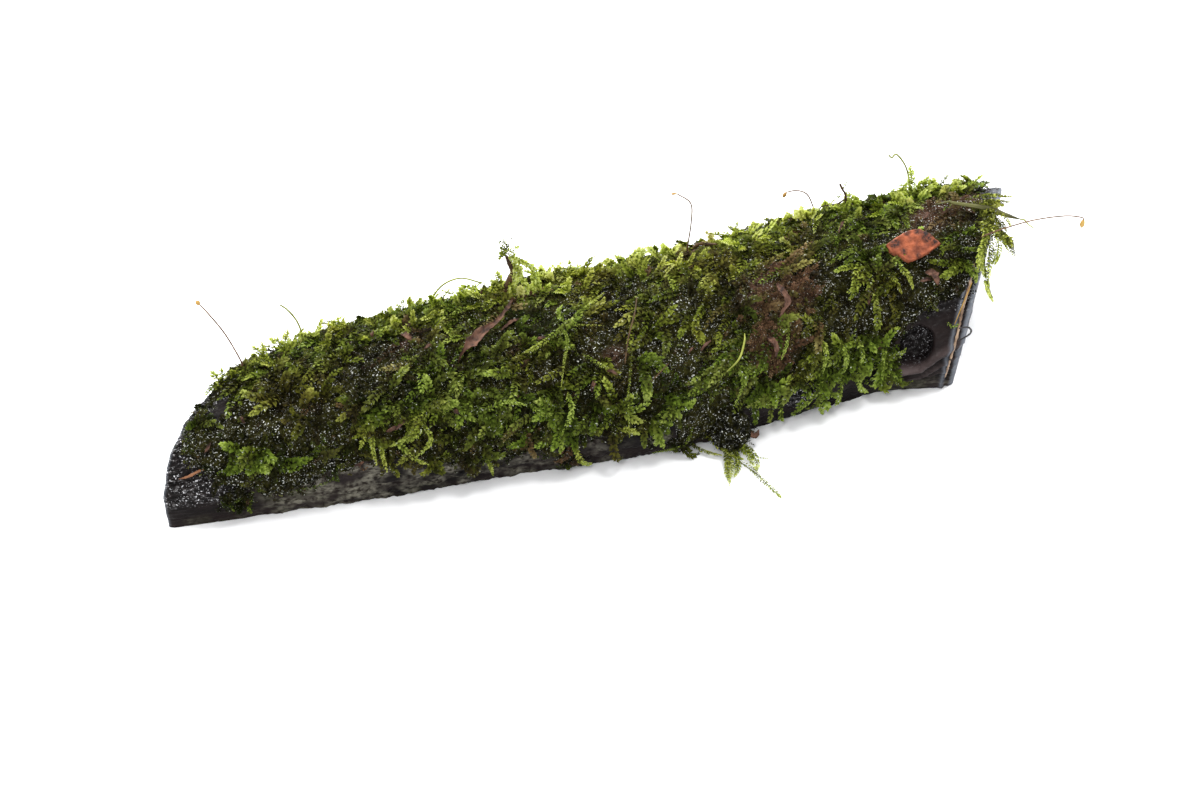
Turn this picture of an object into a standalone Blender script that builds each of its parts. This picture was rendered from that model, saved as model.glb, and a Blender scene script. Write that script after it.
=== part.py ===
"""Christmas moss on driftwood, for an aquarium.

A split log of dark driftwood lies on its flat underside. Both ends are sawn aslant, so its plan is a
leaning four-sided outline. A mat of moss covers the top, with shoots that stand up, hang over the front
edge and lie on the table, thin spore stalks, a red clay chip and scraps of dead leaf and bark.

Metres, +Z up. X runs along the log and -Y is its front. The origin is the middle of the underside.
"""

import math
import random

import bmesh
import bpy
import numpy as np
from mathutils import Matrix, Vector
from mathutils.bvhtree import BVHTree

MM = 0.001
GAP = 0.3 * MM  # between a piece and what carries it

# The log, in millimetres: place along the middle line, front foot, back foot, height
LOG_STATIONS = (
    (-111, -18.5, 17.5, 25.0),
    (-88, -21.5, 21.5, 28.5),
    (-57, -24.2, 24.0, 30.5),
    (-27, -26.2, 24.5, 30.0),
    (5, -28.8, 25.0, 30.5),
    (35, -30.4, 27.5, 32.0),
    (62, -27.2, 28.5, 33.5),
    (89, -23.6, 28.0, 34.5),
    (101, -26.6, 26.0, 34.5),
    (111, -29.0, 25.0, 34.5),
)
HALF_LENGTH = 111 * MM
WIDEST_AT = 7 * MM  # height of the line where the log is widest
UNDERCUT = 18 * MM  # half height of the ellipse below that line, which the table cuts off
SHOULDER = 0.86  # under 1 gives the section fuller shoulders than an ellipse
LEFT_SKEW, RIGHT_SKEW = 0.97, 0.64  # how far the saw cuts run along X for each metre of Y
LEFT_BOW = 7.6  # the left cut is worn round: metres of X for each square metre of Y
RIGHT_LEAN = 0.13  # the right cut overhangs: metres of X for each metre of Z
EDGE_WEAR = 1.0 * MM  # how far the rims at the two cuts are rounded in
WEAR_LENGTH = 2.2 * MM

KNOT_PLACE = (97 * MM, 0.27)  # along the log, and the angle round it
KNOT_RADIUS, KNOT_DEPTH = 3.9 * MM, 7 * MM
COLLAR_HEIGHT, COLLAR_WIDTH = 1.5 * MM, 3.2 * MM

# The moss mat
MAT_THICKNESS = 3.2 * MM
MAT_EDGE = 0.9 * MM  # its thickness along its border
MAT_ROOT_DEPTH = 1.6 * MM  # how far it reaches into the log before the log is cut out of it
MAT_LEFT_FRONT, MAT_LEFT_TOP = -88 * MM, -107.6 * MM
MAT_RIGHT_FRONT, MAT_RIGHT_TOP = 85 * MM, 108.2 * MM
FROND_COUNT = 70
FROND_LENGTH, FROND_WIDTH, FROND_THICKNESS = 10 * MM, 3.0 * MM, 1.1 * MM

# Shoots that stand on the mat: name, place along the log in mm, angle round it, what leads from the root
# to the tip in mm, greatest width in mm
STANDING_SHOOTS = (
    ("shoot_left_end", -106, 1.50, (0.6, 0.2, 5.4), 3.2),
    ("shoot_left_pale", -98, 1.95, (-1.2, 0.4, 6.2), 3.4),
    ("shoot_left_bright", -95, 2.15, (1.4, -0.3, 6.8), 3.6),
    ("shoot_left_small", -81, 2.10, (0.8, 0.0, 5.6), 2.8),
    ("shoot_centre_small", -66, 2.20, (-0.8, 0.3, 6.0), 2.8),
    ("shoot_tall_tuft", -35.5, 1.97, (0.4, -0.1, 16.5), 5.2),
    ("shoot_middle_small", -19, 2.20, (-0.4, 0.1, 7.2), 2.6),
    ("shoot_right_small", 29, 2.15, (0.6, 0.0, 6.0), 2.6),
    ("shoot_right_spiky", 62, 2.15, (-1.0, 0.2, 8.8), 3.2),
    ("shoot_end_pale", 83, 2.10, (-0.6, 0.2, 9.2), 3.4),
    ("shoot_end_green", 88, 2.05, (1.4, -0.3, 6.6), 2.8),
)
# Shoots that lie over the front: name, then place and angle of both ends, greatest width in mm
FRONT_SHOOTS = (
    ("front_shoot_left", -24, 0.24, -21, -0.10, 3.0),
    ("front_shoot_centre", 1, 0.16, 6, -0.24, 4.2),
    ("front_shoot_long", 33, 0.06, 38, -0.30, 3.2),
    ("front_shoot_right_a", 58, 0.10, 60, -0.24, 3.0),
    ("front_shoot_right_b", 65, 0.08, 68, -0.28, 3.4),
    ("front_shoot_right_c", 75, 0.10, 74, -0.26, 3.2),
)
# Spore stalks: name, place and angle of the root, then what leads from the root to each bend in mm, and
# whether a capsule ends it
SPORE_STALKS = (
    ("spore_stalk_left", -101, 1.75, ((-3.2, 1.0, 9.0), (-6.6, 2.1, 15.5), (-8.8, 2.8, 19.0)), True),
    ("spore_stalk_middle", 17.2, 2.20, ((0.8, -0.2, 8.0), (0.6, 0.0, 14.5), (-3.2, 1.0, 18.0)), True),
    ("spore_stalk_right", 107, 1.25, ((5.6, -1.8, 3.2), (14.0, -4.6, 6.8), (25.4, -8.4, 7.2)), True),
    ("spore_stalk_back", 54.5, 2.20, ((-1.8, 0.6, 4.4), (-4.6, 1.5, 5.8), (-7.4, 2.4, 5.2)), True),
    ("spore_stalk_bare", -95, 2.30, ((-1.0, 0.3, 4.0), (-3.0, 1.0, 7.6), (-5.0, 1.6, 9.6)), False),
    ("shoot_forked_tip", 79.5, 2.20, ((-0.6, 0.2, 5.0), (-2.0, 0.6, 9.6), (-4.4, 1.4, 13.0)), False),
    ("arching_stem", -59.5, 2.25, ((3.0, -1.0, 4.6), (7.7, -2.5, 6.8), (13.3, -4.3, 5.0)), False),
)
STALK_RADIUS, CAPSULE_RADIUS, CAPSULE_LENGTH = 0.28 * MM, 0.75 * MM, 2.4 * MM
# Dead stems on the mat: name, place and angle of both ends, radius in mm
DEAD_STEMS = (
    ("dead_stem_centre", 6, 1.58, 14.5, 0.66, 0.35),
    ("dead_stem_right", 43.5, 0.80, 46, 0.50, 0.40),
    ("bark_twig", 18, 2.25, 25, 2.05, 0.80),
)
# Scraps on the mat: name, place and angle of both ends, width in mm, curl
LEAF_SCRAPS = (
    ("curled_leaf", -38, 1.24, -32.5, 1.80, 6.0, 0.9),
    ("leaf_scrap_right", 95, 0.90, 99, 0.80, 2.6, 0.5),
    ("bark_scrap_left", -57, 1.55, -53, 1.45, 2.4, 0.3),
    ("bark_flakes_upper", 50.5, 1.12, 57, 0.98, 6.5, 0.3),
    ("bark_flakes_lower", 50, 0.66, 57, 0.58, 4.5, 0.4),
)
CHIP_PLACE, CHIP_SIZE = (88 * MM, 1.17), (7.6 * MM, 5.2 * MM, 2.2 * MM)
TUFT_CENTRE, TUFT_SIZE = (25.5 * MM, -35.8 * MM, 4.3 * MM), (4.4 * MM, 3.0 * MM, 3.6 * MM)
# Strands of the hanging tuft on the table: tip in mm, greatest width in mm
TUFT_STRANDS = (((30.4, -59.1), 3.0), ((32.7, -43.5), 2.6), ((25.1, -46.2), 2.8), ((18.4, -50.2), 3.0))
TABLE_CLEARANCE = 0.3 * MM

BARK_BROWN = (0.035, 0.024, 0.021, 1)
MOSS_GREEN = (0.075, 0.115, 0.022, 1)
SHOOT_GREEN = (0.22, 0.33, 0.05, 1)
HANGING_GREEN = (0.30, 0.36, 0.06, 1)
STALK_BROWN = (0.30, 0.17, 0.09, 1)
CLAY_RED = (0.52, 0.12, 0.05, 1)
LEAF_BROWN = (0.20, 0.10, 0.06, 1)
BARK_PALE = (0.24, 0.16, 0.11, 1)
FIBRE_BROWN = (0.10, 0.07, 0.05, 1)
BLADE_GREEN = (0.16, 0.17, 0.05, 1)


# Scene, materials and mesh helpers

def clear_scene():
    """Removes the start-up objects."""
    for thing in list(bpy.data.objects):
        bpy.data.objects.remove(thing, do_unlink=True)


def make_collection(name):
    """A new collection under the scene's own."""
    collection = bpy.data.collections.new(name)
    bpy.context.scene.collection.children.link(collection)
    return collection


def make_material(name, colour, roughness):
    """A plain Principled material."""
    material = bpy.data.materials.new(name)
    material.use_nodes = True
    shader = material.node_tree.nodes["Principled BSDF"]
    shader.inputs["Base Color"].default_value = colour
    shader.inputs["Roughness"].default_value = roughness
    material.diffuse_color = colour
    return material


def object_from(name, mesh, material, collection, smooth=True):
    """An object for a finished mesh, with its material, in a collection."""
    thing = bpy.data.objects.new(name, mesh)
    mesh.materials.clear()
    mesh.materials.append(material)
    if smooth:
        mesh.shade_smooth()
        mesh.set_sharp_from_angle(angle=math.radians(40))
    collection.objects.link(thing)
    return thing


def mesh_from_grid(name, rows, close_rows):
    """A mesh with quads between neighbouring rows of points, and the first and last row filled.

    With close_rows, each row is a ring.
    """
    count = rows.shape[1]
    shape = bmesh.new()
    corners = [[shape.verts.new(point) for point in row] for row in rows]
    span = count if close_rows else count - 1
    for low, high in zip(corners, corners[1:]):
        for j in range(span):
            k = (j + 1) % count
            shape.faces.new((low[j], low[k], high[k], high[j]))
    if close_rows:
        shape.faces.new(corners[0][::-1])
        shape.faces.new(corners[-1])
    bmesh.ops.recalc_face_normals(shape, faces=shape.faces)
    mesh = bpy.data.meshes.new(name)
    shape.to_mesh(mesh)
    shape.free()
    return mesh


def mesh_from_shell(name, outer, inner):
    """A closed mesh between two grids of points of the same size, with quads along its four borders."""
    shape = bmesh.new()
    top = [[shape.verts.new(point) for point in row] for row in outer]
    base = [[shape.verts.new(point) for point in row] for row in inner]
    last_i, last_j = outer.shape[0] - 1, outer.shape[1] - 1
    for i in range(last_i):
        for j in range(last_j):
            shape.faces.new((top[i][j], top[i + 1][j], top[i + 1][j + 1], top[i][j + 1]))
            shape.faces.new((base[i][j + 1], base[i + 1][j + 1], base[i + 1][j], base[i][j]))
        shape.faces.new((top[i][0], base[i][0], base[i + 1][0], top[i + 1][0]))
        shape.faces.new((top[i + 1][last_j], base[i + 1][last_j], base[i][last_j], top[i][last_j]))
    for j in range(last_j):
        shape.faces.new((top[0][j + 1], base[0][j + 1], base[0][j], top[0][j]))
        shape.faces.new((top[last_i][j], base[last_i][j], base[last_i][j + 1], top[last_i][j + 1]))
    bmesh.ops.recalc_face_normals(shape, faces=shape.faces)
    mesh = bpy.data.meshes.new(name)
    shape.to_mesh(mesh)
    shape.free()
    return mesh


def applied(thing):
    """The object's mesh with its modifiers applied."""
    bpy.context.view_layer.update()
    graph = bpy.context.evaluated_depsgraph_get()
    return bpy.data.meshes.new_from_object(thing.evaluated_get(graph))


def bake_modifiers(thing):
    """Replaces the object's mesh by its modified one, in triangles, and drops the modifiers."""
    mesh = applied(thing)
    shape = bmesh.new()
    shape.from_mesh(mesh)
    bmesh.ops.triangulate(shape, faces=shape.faces)
    shape.to_mesh(mesh)
    shape.free()
    thing.modifiers.clear()
    thing.data = mesh


def as_helper(thing):
    """Marks a cutter, which isn't part of the object."""
    thing.hide_render = True
    thing.display_type = "WIRE"


def smooth_step(low, high, value):
    """0 below low, 1 above high, and a smooth rise between them."""
    t = np.clip((value - low) / (high - low), 0, 1)
    return t * t * (3 - 2 * t)


# The log's surface

def station_values(along):
    """Front foot, back foot and height of the log at each place along it, in metres."""
    table = np.array(LOG_STATIONS) * MM
    fine = np.linspace(-HALF_LENGTH, HALF_LENGTH, 112)
    kernel = np.hanning(13)
    kernel /= kernel.sum()
    values = []
    for column in (1, 2, 3):
        raw = np.interp(fine, table[:, 0], table[:, column])
        padded = np.concatenate([np.full(6, raw[0]), raw, np.full(6, raw[-1])])
        values.append(np.interp(along, fine, np.convolve(padded, kernel, "valid")))
    return values


def surface_relief(along, angle):
    """How far the log's surface stands out: broad lumps, long flutes of the grain and the knot's collar."""
    s = along / MM
    lumps = 0.55 * np.sin(s / 17 + 1.3 * angle) * np.sin(s / 29 - 2.1 * angle + 1)
    flutes = 0.32 * np.sin(11 * angle + 0.9 * np.sin(s / 37)) + 0.18 * np.sin(19 * angle - s / 55 + 2)
    away = np.hypot(along - KNOT_PLACE[0], (angle - KNOT_PLACE[1]) * 26 * MM)
    collar = COLLAR_HEIGHT * np.exp(-(((away - KNOT_RADIUS - 2 * MM) / COLLAR_WIDTH) ** 2))
    return (lumps + flutes) * MM + collar


def log_point(along, angle, lift=0.0, shrink=1.0):
    """Points of the log's surface.

    angle turns from the front's widest line, at 0, over the top to the back's, at pi. The upper half is
    a full-shouldered ellipse, and the lower one an ellipse that the table cuts off. lift stands the
    point off the surface, and shrink draws it towards the middle of its section.
    """
    along, angle = np.broadcast_arrays(np.asarray(along, float), np.asarray(angle, float))
    front, back, height = station_values(along)
    foot_cos = math.sqrt(1 - (WIDEST_AT / UNDERCUT) ** 2)
    middle, half = (front + back) / 2, (back - front) / 2 / foot_cos
    near_end = HALF_LENGTH - np.abs(along)
    worn = EDGE_WEAR * (1 - np.sqrt(np.clip(near_end / WEAR_LENGTH, 0, 1)))
    out = lift + surface_relief(along, angle) - worn
    sine, cosine = np.sin(angle), np.cos(angle)
    rise = np.where(sine > 0, np.abs(sine) ** SHOULDER * (height - WIDEST_AT), sine * UNDERCUT)
    core = 0.42 * height
    y = (-(half + out) * cosine) * shrink + middle
    z = core + (WIDEST_AT + rise + out * sine - core) * shrink
    share = (along + HALF_LENGTH) / (2 * HALF_LENGTH)
    skew = LEFT_SKEW + (RIGHT_SKEW - LEFT_SKEW) * share
    x = along + skew * y + LEFT_BOW * (1 - share) * y * y + RIGHT_LEAN * share * z
    return np.stack([x, y, z], -1)


def surface_normal(along, angle):
    """Outward direction of the log's surface."""
    step_s, step_a = 0.8 * MM, 0.03
    du = log_point(along + step_s, angle) - log_point(along - step_s, angle)
    dv = log_point(along, angle + step_a) - log_point(along, angle - step_a)
    normal = np.cross(du, dv)
    return normal / np.linalg.norm(normal, axis=-1, keepdims=True)


def off_surface(along, angle, lift):
    """Points that stand off the log by lift, straight out."""
    clipped = np.clip(along, -HALF_LENGTH + WEAR_LENGTH, HALF_LENGTH - WEAR_LENGTH)
    return log_point(along, angle) + surface_normal(clipped, angle) * np.asarray(lift)[..., None]


# Pieces

def log_mesh(name, lift=0.0):
    """The log without its knot hole: rings of the section from cut to cut, with a flat underside.

    lift makes it larger all round, for a cutter.
    """
    foot = -math.asin(WIDEST_AT / UNDERCUT)
    angles = np.linspace(foot, math.pi - foot, 22)
    inner = np.linspace(-HALF_LENGTH + WEAR_LENGTH, HALF_LENGTH - WEAR_LENGTH, 34)
    near_cut = HALF_LENGTH - 0.35 * WEAR_LENGTH
    rings = [log_point(-HALF_LENGTH, angles, lift, shrink) for shrink in (0.3, 0.7)]
    for along in (-HALF_LENGTH, -near_cut, *inner, near_cut, HALF_LENGTH):
        ring = log_point(along, angles, lift)
        ring[[0, -1], 2] = -lift
        rings.append(ring)
    rings += [log_point(HALF_LENGTH, angles, lift, shrink) for shrink in (0.7, 0.3)]
    return mesh_from_grid(name, np.array(rings), close_rows=True)


def build_driftwood(material, collection, cutters):
    """The log with its knot hole, which a tapered plug cuts out."""
    wood = object_from("driftwood", log_mesh("driftwood"), material, collection)
    place = Vector(off_surface(*KNOT_PLACE, 0.0))
    outward = Vector(surface_normal(*KNOT_PLACE))
    bpy.ops.mesh.primitive_cone_add(
        vertices=14, radius1=0.6 * KNOT_RADIUS, radius2=1.15 * KNOT_RADIUS, depth=KNOT_DEPTH + 4 * MM)
    cutter = bpy.context.object
    cutter.name = "knot_cutter"
    cutter.matrix_world = Matrix.Translation(place - outward * (KNOT_DEPTH - 4 * MM) / 2) @ (
        outward.to_track_quat("Z", "Y").to_matrix().to_4x4())
    for owner in list(cutter.users_collection):
        owner.objects.unlink(cutter)
    cutters.objects.link(cutter)
    as_helper(cutter)
    cut = wood.modifiers.new("knot_hole", "BOOLEAN")
    cut.operation = "DIFFERENCE"
    cut.object = cutter
    return wood


def mat_front_angle(along):
    """The mat's lower border on the front, which comes nearer the table towards the right."""
    s = along / MM
    border = 0.24 - 0.34 * smooth_step(-70, 55, s)
    return border + 0.05 * np.sin(s / 6.5) + 0.05 * np.sin(s / 13 + 1)


def mat_back_angle(along):
    """The mat's lower border on the back."""
    s = along / MM
    return math.pi - 0.12 + 0.07 * np.sin(s / 11 + 2) + 0.06 * np.sin(s / 5.3)


def mat_thickness(along, angle, share_s, share_a):
    """Thickness of the mat: thin along its border, with lumps a few centimetres apart inside."""
    s = along / MM
    inside = smooth_step(0, 0.045, np.minimum(share_s, 1 - share_s))
    inside = inside * smooth_step(0, 0.16, np.minimum(share_a, 1 - share_a))
    lumps = 1 + 0.34 * np.sin(s / 5.3 + 1.1 * np.sin(3.1 * angle)) * np.sin(6.1 * angle + 0.9 * np.sin(s / 11))
    lumps = lumps + 0.24 * np.sin(s / 9.1 - 1.7) * np.cos(3.7 * angle + s / 41)
    return MAT_EDGE + inside * (MAT_THICKNESS * lumps - MAT_EDGE)


def mat_place(share_s, share_a):
    """Place along the log and angle round it, for a point of the mat given as shares of its extent."""
    left = MAT_LEFT_FRONT + (MAT_LEFT_TOP - MAT_LEFT_FRONT) * smooth_step(0.05, 0.45, share_a)
    right = MAT_RIGHT_FRONT + (MAT_RIGHT_TOP - MAT_RIGHT_FRONT) * smooth_step(0.19, 0.32, share_a)
    ragged = 1.2 * MM * np.sin(37 * share_a)
    along = left + ragged * (1 - share_s) + (right - left) * share_s
    front, back = mat_front_angle(along), mat_back_angle(along)
    return along, front + (back - front) * share_a


def build_mat(material, collection):
    """The mat's body: from inside the log to the moss's lumpy top, before the log is cut out of it."""
    share_s, share_a = np.meshgrid(np.linspace(0, 1, 41), np.linspace(0, 1, 14), indexing="ij")
    along, angle = mat_place(share_s, share_a)
    thickness = mat_thickness(along, angle, share_s, share_a)
    outer = off_surface(along, angle, thickness + GAP)
    inner = off_surface(along, angle, np.full_like(along, -MAT_ROOT_DEPTH))
    mesh = mesh_from_shell("moss_mat", outer, inner)
    return object_from("moss_mat", mesh, material, collection, smooth=False)


def frond_mesh(rng, root, heading, outward):
    """A short leafy frond: a blade with a roof-shaped section and a stepped outline, narrow at its tip."""
    length = FROND_LENGTH * rng.uniform(0.7, 1.3)
    width = FROND_WIDTH * rng.uniform(0.8, 1.2)
    side = heading.cross(outward).normalized()
    rise = rng.uniform(0.12, 0.34)
    rows = []
    for share, wide in ((0, 0.5), (0.42, 1.0), (0.5, 0.66), (1.0, 0.08)):
        spine = root + heading * length * share + outward * length * rise * math.sin(share * 2.2)
        half, thick = width * wide / 2, FROND_THICKNESS * (0.4 + 0.6 * wide)
        rows.append([spine + side * half, spine + outward * thick, spine - side * half])
    return mesh_from_grid("frond", np.array(rows), close_rows=True)


def add_fronds(mat, material, cutters):
    """Fuses short fronds into the mat, which most of them lie along, pointing down its two slopes."""
    rng = random.Random(7)
    fronds = bpy.data.collections.new("fronds")
    cutters.children.link(fronds)
    for number in range(FROND_COUNT):
        share_s = 0.03 + 0.94 * (number + rng.uniform(0.1, 0.9)) / FROND_COUNT
        share_a = 0.08 + 0.82 * ((number * 0.618) % 1) + rng.uniform(-0.02, 0.02)
        along, angle = mat_place(np.array(share_s), np.array(share_a))
        thickness = mat_thickness(along, angle, np.array(share_s), np.array(share_a))
        root = Vector(off_surface(along, angle, GAP + max(0.55 * thickness, 0.7 * MM)))
        outward = Vector(surface_normal(along, angle))
        downhill = Vector((0, 0, -1)) - outward * -outward.z
        sideways = Vector((1, 0, 0)) - outward * outward.x
        turn = rng.uniform(-1.9, 1.9)
        heading = (downhill.normalized() * math.cos(turn) + sideways.normalized() * math.sin(turn))
        frond = bpy.data.objects.new(f"frond_{number:03d}", frond_mesh(rng, root, heading.normalized(), outward))
        fronds.objects.link(frond)
        as_helper(frond)
    join = mat.modifiers.new("fronds", "BOOLEAN")
    join.operation = "UNION"
    join.operand_type = "COLLECTION"
    join.collection = fronds
    clearance = bpy.data.objects.new("log_clearance", log_mesh("log_clearance", GAP))
    cutters.objects.link(clearance)
    as_helper(clearance)
    cut = mat.modifiers.new("log_clearance", "BOOLEAN")
    cut.operation = "DIFFERENCE"
    cut.object = clearance
    bake_modifiers(mat)
    mat.data.materials.clear()
    mat.data.materials.append(material)


def tree_of(thing):
    """A search tree of the object's faces."""
    polygons = [tuple(face.vertices) for face in thing.data.polygons]
    return BVHTree.FromPolygons([corner.co for corner in thing.data.vertices], polygons)


def surface_hit(trees, along, angle):
    """The outermost surface at a place round the log, and the outward direction there."""
    outward = Vector(surface_normal(along, angle))
    start = Vector(log_point(along, angle)) + outward * 14 * MM
    hits = [tree.ray_cast(start, -outward) for tree in trees]
    found = [hit for hit in hits if hit[0] is not None]
    nearest = min(found, key=lambda hit: hit[3])
    return nearest[0], outward


def settle(thing, trees, direction, gap=0.1 * MM):
    """Moves a piece out, a tenth of a millimetre at a time, until it is clear of what carries it."""
    step = Matrix.Translation(Vector(direction).normalized() * gap)
    clear_steps = 0
    for _ in range(90):
        clear_steps = 0 if any(tree_of(thing).overlap(tree) for tree in trees) else clear_steps + 1
        if clear_steps == 2:
            return
        thing.data.transform(step)


def along_path(points, share):
    """A point on a smooth line through the given ones, at a share of its length."""
    spots = [Vector(point) for point in points]
    place = min(max(share, 0.0), 1.0) * (len(spots) - 1)
    i = min(int(place), len(spots) - 2)
    t = place - i
    before = spots[i - 1] if i else spots[0] * 2 - spots[1]
    after = spots[i + 2] if i + 2 < len(spots) else spots[-1] * 2 - spots[-2]
    start, end = spots[i], spots[i + 1]
    return 0.5 * (2 * start + (end - before) * t + (2 * before - 5 * start + 4 * end - after) * t ** 2
                  + (3 * start - before - 3 * end + after) * t ** 3)


def shoot_mesh(name, path, width, facing, barbs=3, thickness=0.8 * MM):
    """A leafy shoot as a blade along a path.

    Its outline steps out and in like a fir tree's, and its section is a low roof whose ridge looks
    along facing.
    """
    marks = [(0.0, 0.2), (0.16, 0.22)]
    for number in range(barbs):
        low = 0.16 + 0.84 * number / barbs
        high = 0.16 + 0.84 * (number + 1) / barbs
        fullness = 1 - 0.75 * number / barbs
        marks.append((low + 0.62 * (high - low), fullness))
        marks.append((low + 0.74 * (high - low), 0.5 * fullness))
    marks.append((1.0, 0.08))
    rows = []
    for share, wide in marks:
        spot = along_path(path, share)
        ahead = (along_path(path, share + 0.05) - along_path(path, share - 0.05)).normalized()
        side = ahead.cross(Vector(facing)).normalized()
        ridge = side.cross(ahead).normalized()
        half, thick = width * wide / 2, thickness * (0.45 + 0.55 * wide)
        rows.append([spot + side * half, spot + ridge * thick, spot - side * half])
    return mesh_from_grid(name, np.array(rows), close_rows=True)


def tube_mesh(name, points, radii):
    """A round tapering tube: a bevelled curve with filled caps."""
    curve = bpy.data.curves.new(name, "CURVE")
    curve.dimensions = "3D"
    curve.bevel_depth = 1.0
    curve.bevel_resolution = 1
    curve.use_fill_caps = True
    line = curve.splines.new("POLY")
    line.points.add(len(points) - 1)
    for spot, point, radius in zip(line.points, points, radii):
        spot.co = (*point, 1)
        spot.radius = radius
    thing = bpy.data.objects.new(name, curve)
    bpy.context.scene.collection.objects.link(thing)
    mesh = applied(thing)
    bpy.data.objects.remove(thing, do_unlink=True)
    bpy.data.curves.remove(curve)
    shape = bmesh.new()
    shape.from_mesh(mesh)
    bmesh.ops.remove_doubles(shape, verts=shape.verts, dist=0.00001)
    bmesh.ops.recalc_face_normals(shape, faces=shape.faces)
    shape.to_mesh(mesh)
    shape.free()
    return mesh


def build_standing_shoots(material, collection, trees):
    """The shoots that stand on the mat."""
    for name, along, angle, lean, width in STANDING_SHOOTS:
        root, outward = surface_hit(trees, along * MM, angle)
        rise = Vector(lean) * MM
        path = [root, root + rise * 0.5 + outward * rise.length * 0.06, root + rise]
        mesh = shoot_mesh(name, path, width * MM, (0.3, -1, 0.1), thickness=0.9 * MM)
        thing = object_from(name, mesh, material, collection, smooth=False)
        settle(thing, trees, (0, 0, 1))


def build_front_shoots(material, collection, trees):
    """The shoots that hang from the mat over the bare wood at the front."""
    for name, along_a, angle_a, along_b, angle_b, width in FRONT_SHOOTS:
        path = []
        for share in (0, 0.33, 0.67, 1):
            along, angle = along_a + (along_b - along_a) * share, angle_a + (angle_b - angle_a) * share
            spot, outward = surface_hit(trees, along * MM, angle)
            path.append(spot + outward * 0.3 * MM)
        mesh = shoot_mesh(name, path, width * MM, outward, barbs=2)
        thing = object_from(name, mesh, material, collection, smooth=False)
        settle(thing, trees, outward)
        trees.append(tree_of(thing))


def build_stalks(stalk, capsule, stem, collection, trees):
    """The thin stalks, most of which end in a capsule."""
    for name, along, angle, bends, has_capsule in SPORE_STALKS:
        root, _ = surface_hit(trees, along * MM, angle)
        turns = [root] + [root + Vector(bend) * MM for bend in bends]
        points = [along_path(turns, number / 6) for number in range(7)]
        radii = [STALK_RADIUS * 1.3] + [STALK_RADIUS] * 6
        if has_capsule:
            ahead = (points[-1] - points[-2]).normalized()
            start = points[-1]
            for share, wide in ((0.15, 0.7), (0.5, 1.0), (0.8, 0.85), (1.0, 0.35)):
                points.append(start + ahead * CAPSULE_LENGTH * share)
                radii.append(CAPSULE_RADIUS * wide)
        else:
            radii[-1] = 0.5 * STALK_RADIUS
        material = capsule if has_capsule else stem
        thing = object_from(name, tube_mesh(name, points, radii), material, collection)
        settle(thing, trees, (0, 0, 1))


def build_stems(material, collection, trees):
    """Dead stems and a twig that lie on the mat."""
    for name, along_a, angle_a, along_b, angle_b, radius in DEAD_STEMS:
        points = []
        for share in (0, 0.25, 0.5, 0.75, 1):
            along, angle = along_a + (along_b - along_a) * share, angle_a + (angle_b - angle_a) * share
            spot, outward = surface_hit(trees, along * MM, angle)
            points.append(spot + outward * (radius + 0.3) * MM)
        mesh = tube_mesh(name, points, [radius * MM * wide for wide in (0.7, 1, 1.1, 0.9, 0.6)])
        thing = object_from(name, mesh, material, collection)
        settle(thing, trees, outward)
        trees.append(tree_of(thing))


def build_scraps(leaf, bark, collection, trees):
    """Dead leaves and bark: thin curled sheets that lie on the mat."""
    for name, along_a, angle_a, along_b, angle_b, width, curl in LEAF_SCRAPS:
        rows = []
        for share, wide in ((0, 0.25), (0.25, 0.85), (0.55, 1.0), (0.8, 0.7), (1, 0.2)):
            along, angle = along_a + (along_b - along_a) * share, angle_a + (angle_b - angle_a) * share
            spot, outward = surface_hit(trees, along * MM, angle)
            end, _ = surface_hit(trees, along_b * MM, angle_b)
            start, _ = surface_hit(trees, along_a * MM, angle_a)
            side = (end - start).cross(outward).normalized()
            row = []
            for across in (-0.5, -0.2, 0.2, 0.5):
                lifted = 0.4 * MM + curl * width * MM * wide * across ** 2
                row.append(spot + side * width * MM * wide * across + outward * lifted)
            rows.append(row)
        mesh = bpy.data.meshes.new(name)
        corners = [tuple(point) for row in rows for point in row]
        quads = [(4 * i + j, 4 * i + j + 1, 4 * i + j + 5, 4 * i + j + 4) for i in range(4) for j in range(3)]
        mesh.from_pydata(corners, [], quads)
        material = bark if name.startswith("bark") else leaf
        thing = object_from(name, mesh, material, collection, smooth=False)
        thick = thing.modifiers.new("thickness", "SOLIDIFY")
        thick.thickness = 0.5 * MM
        thick.offset = 0
        bake_modifiers(thing)
        settle(thing, trees, outward)
        trees.append(tree_of(thing))


def build_chip(material, collection, trees):
    """The red clay chip: a six-sided slab with worn edges that leans on the mat."""
    bpy.ops.mesh.primitive_cylinder_add(vertices=6, radius=1, depth=2)
    chip = bpy.context.object
    chip.name = "clay_chip"
    mesh = chip.data
    stretch = ((1.0, 0.15), (0.45, 1.0), (-0.55, 0.85), (-1.0, 0.1), (-0.6, -0.9), (0.4, -1.0))
    for corner in mesh.vertices:
        sixth = int((math.atan2(corner.co.y, corner.co.x) % math.tau) / (math.pi / 3))
        x, y = stretch[sixth]
        corner.co = (x * CHIP_SIZE[0], y * CHIP_SIZE[1], corner.co.z * CHIP_SIZE[2] / 2)
    root, outward = surface_hit(trees, *CHIP_PLACE)
    turn = outward.to_track_quat("Z", "Y").to_matrix().to_4x4() @ Matrix.Rotation(0.2, 4, "Z")
    mesh.transform(Matrix.Translation(root) @ turn)
    for owner in list(chip.users_collection):
        owner.objects.unlink(chip)
    collection.objects.link(chip)
    edge = chip.modifiers.new("worn_edges", "BEVEL")
    edge.width = 0.5 * MM
    edge.segments = 1
    bake_modifiers(chip)
    chip.data.materials.clear()
    chip.data.materials.append(material)
    settle(chip, trees, outward)
    trees.append(tree_of(chip))


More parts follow.
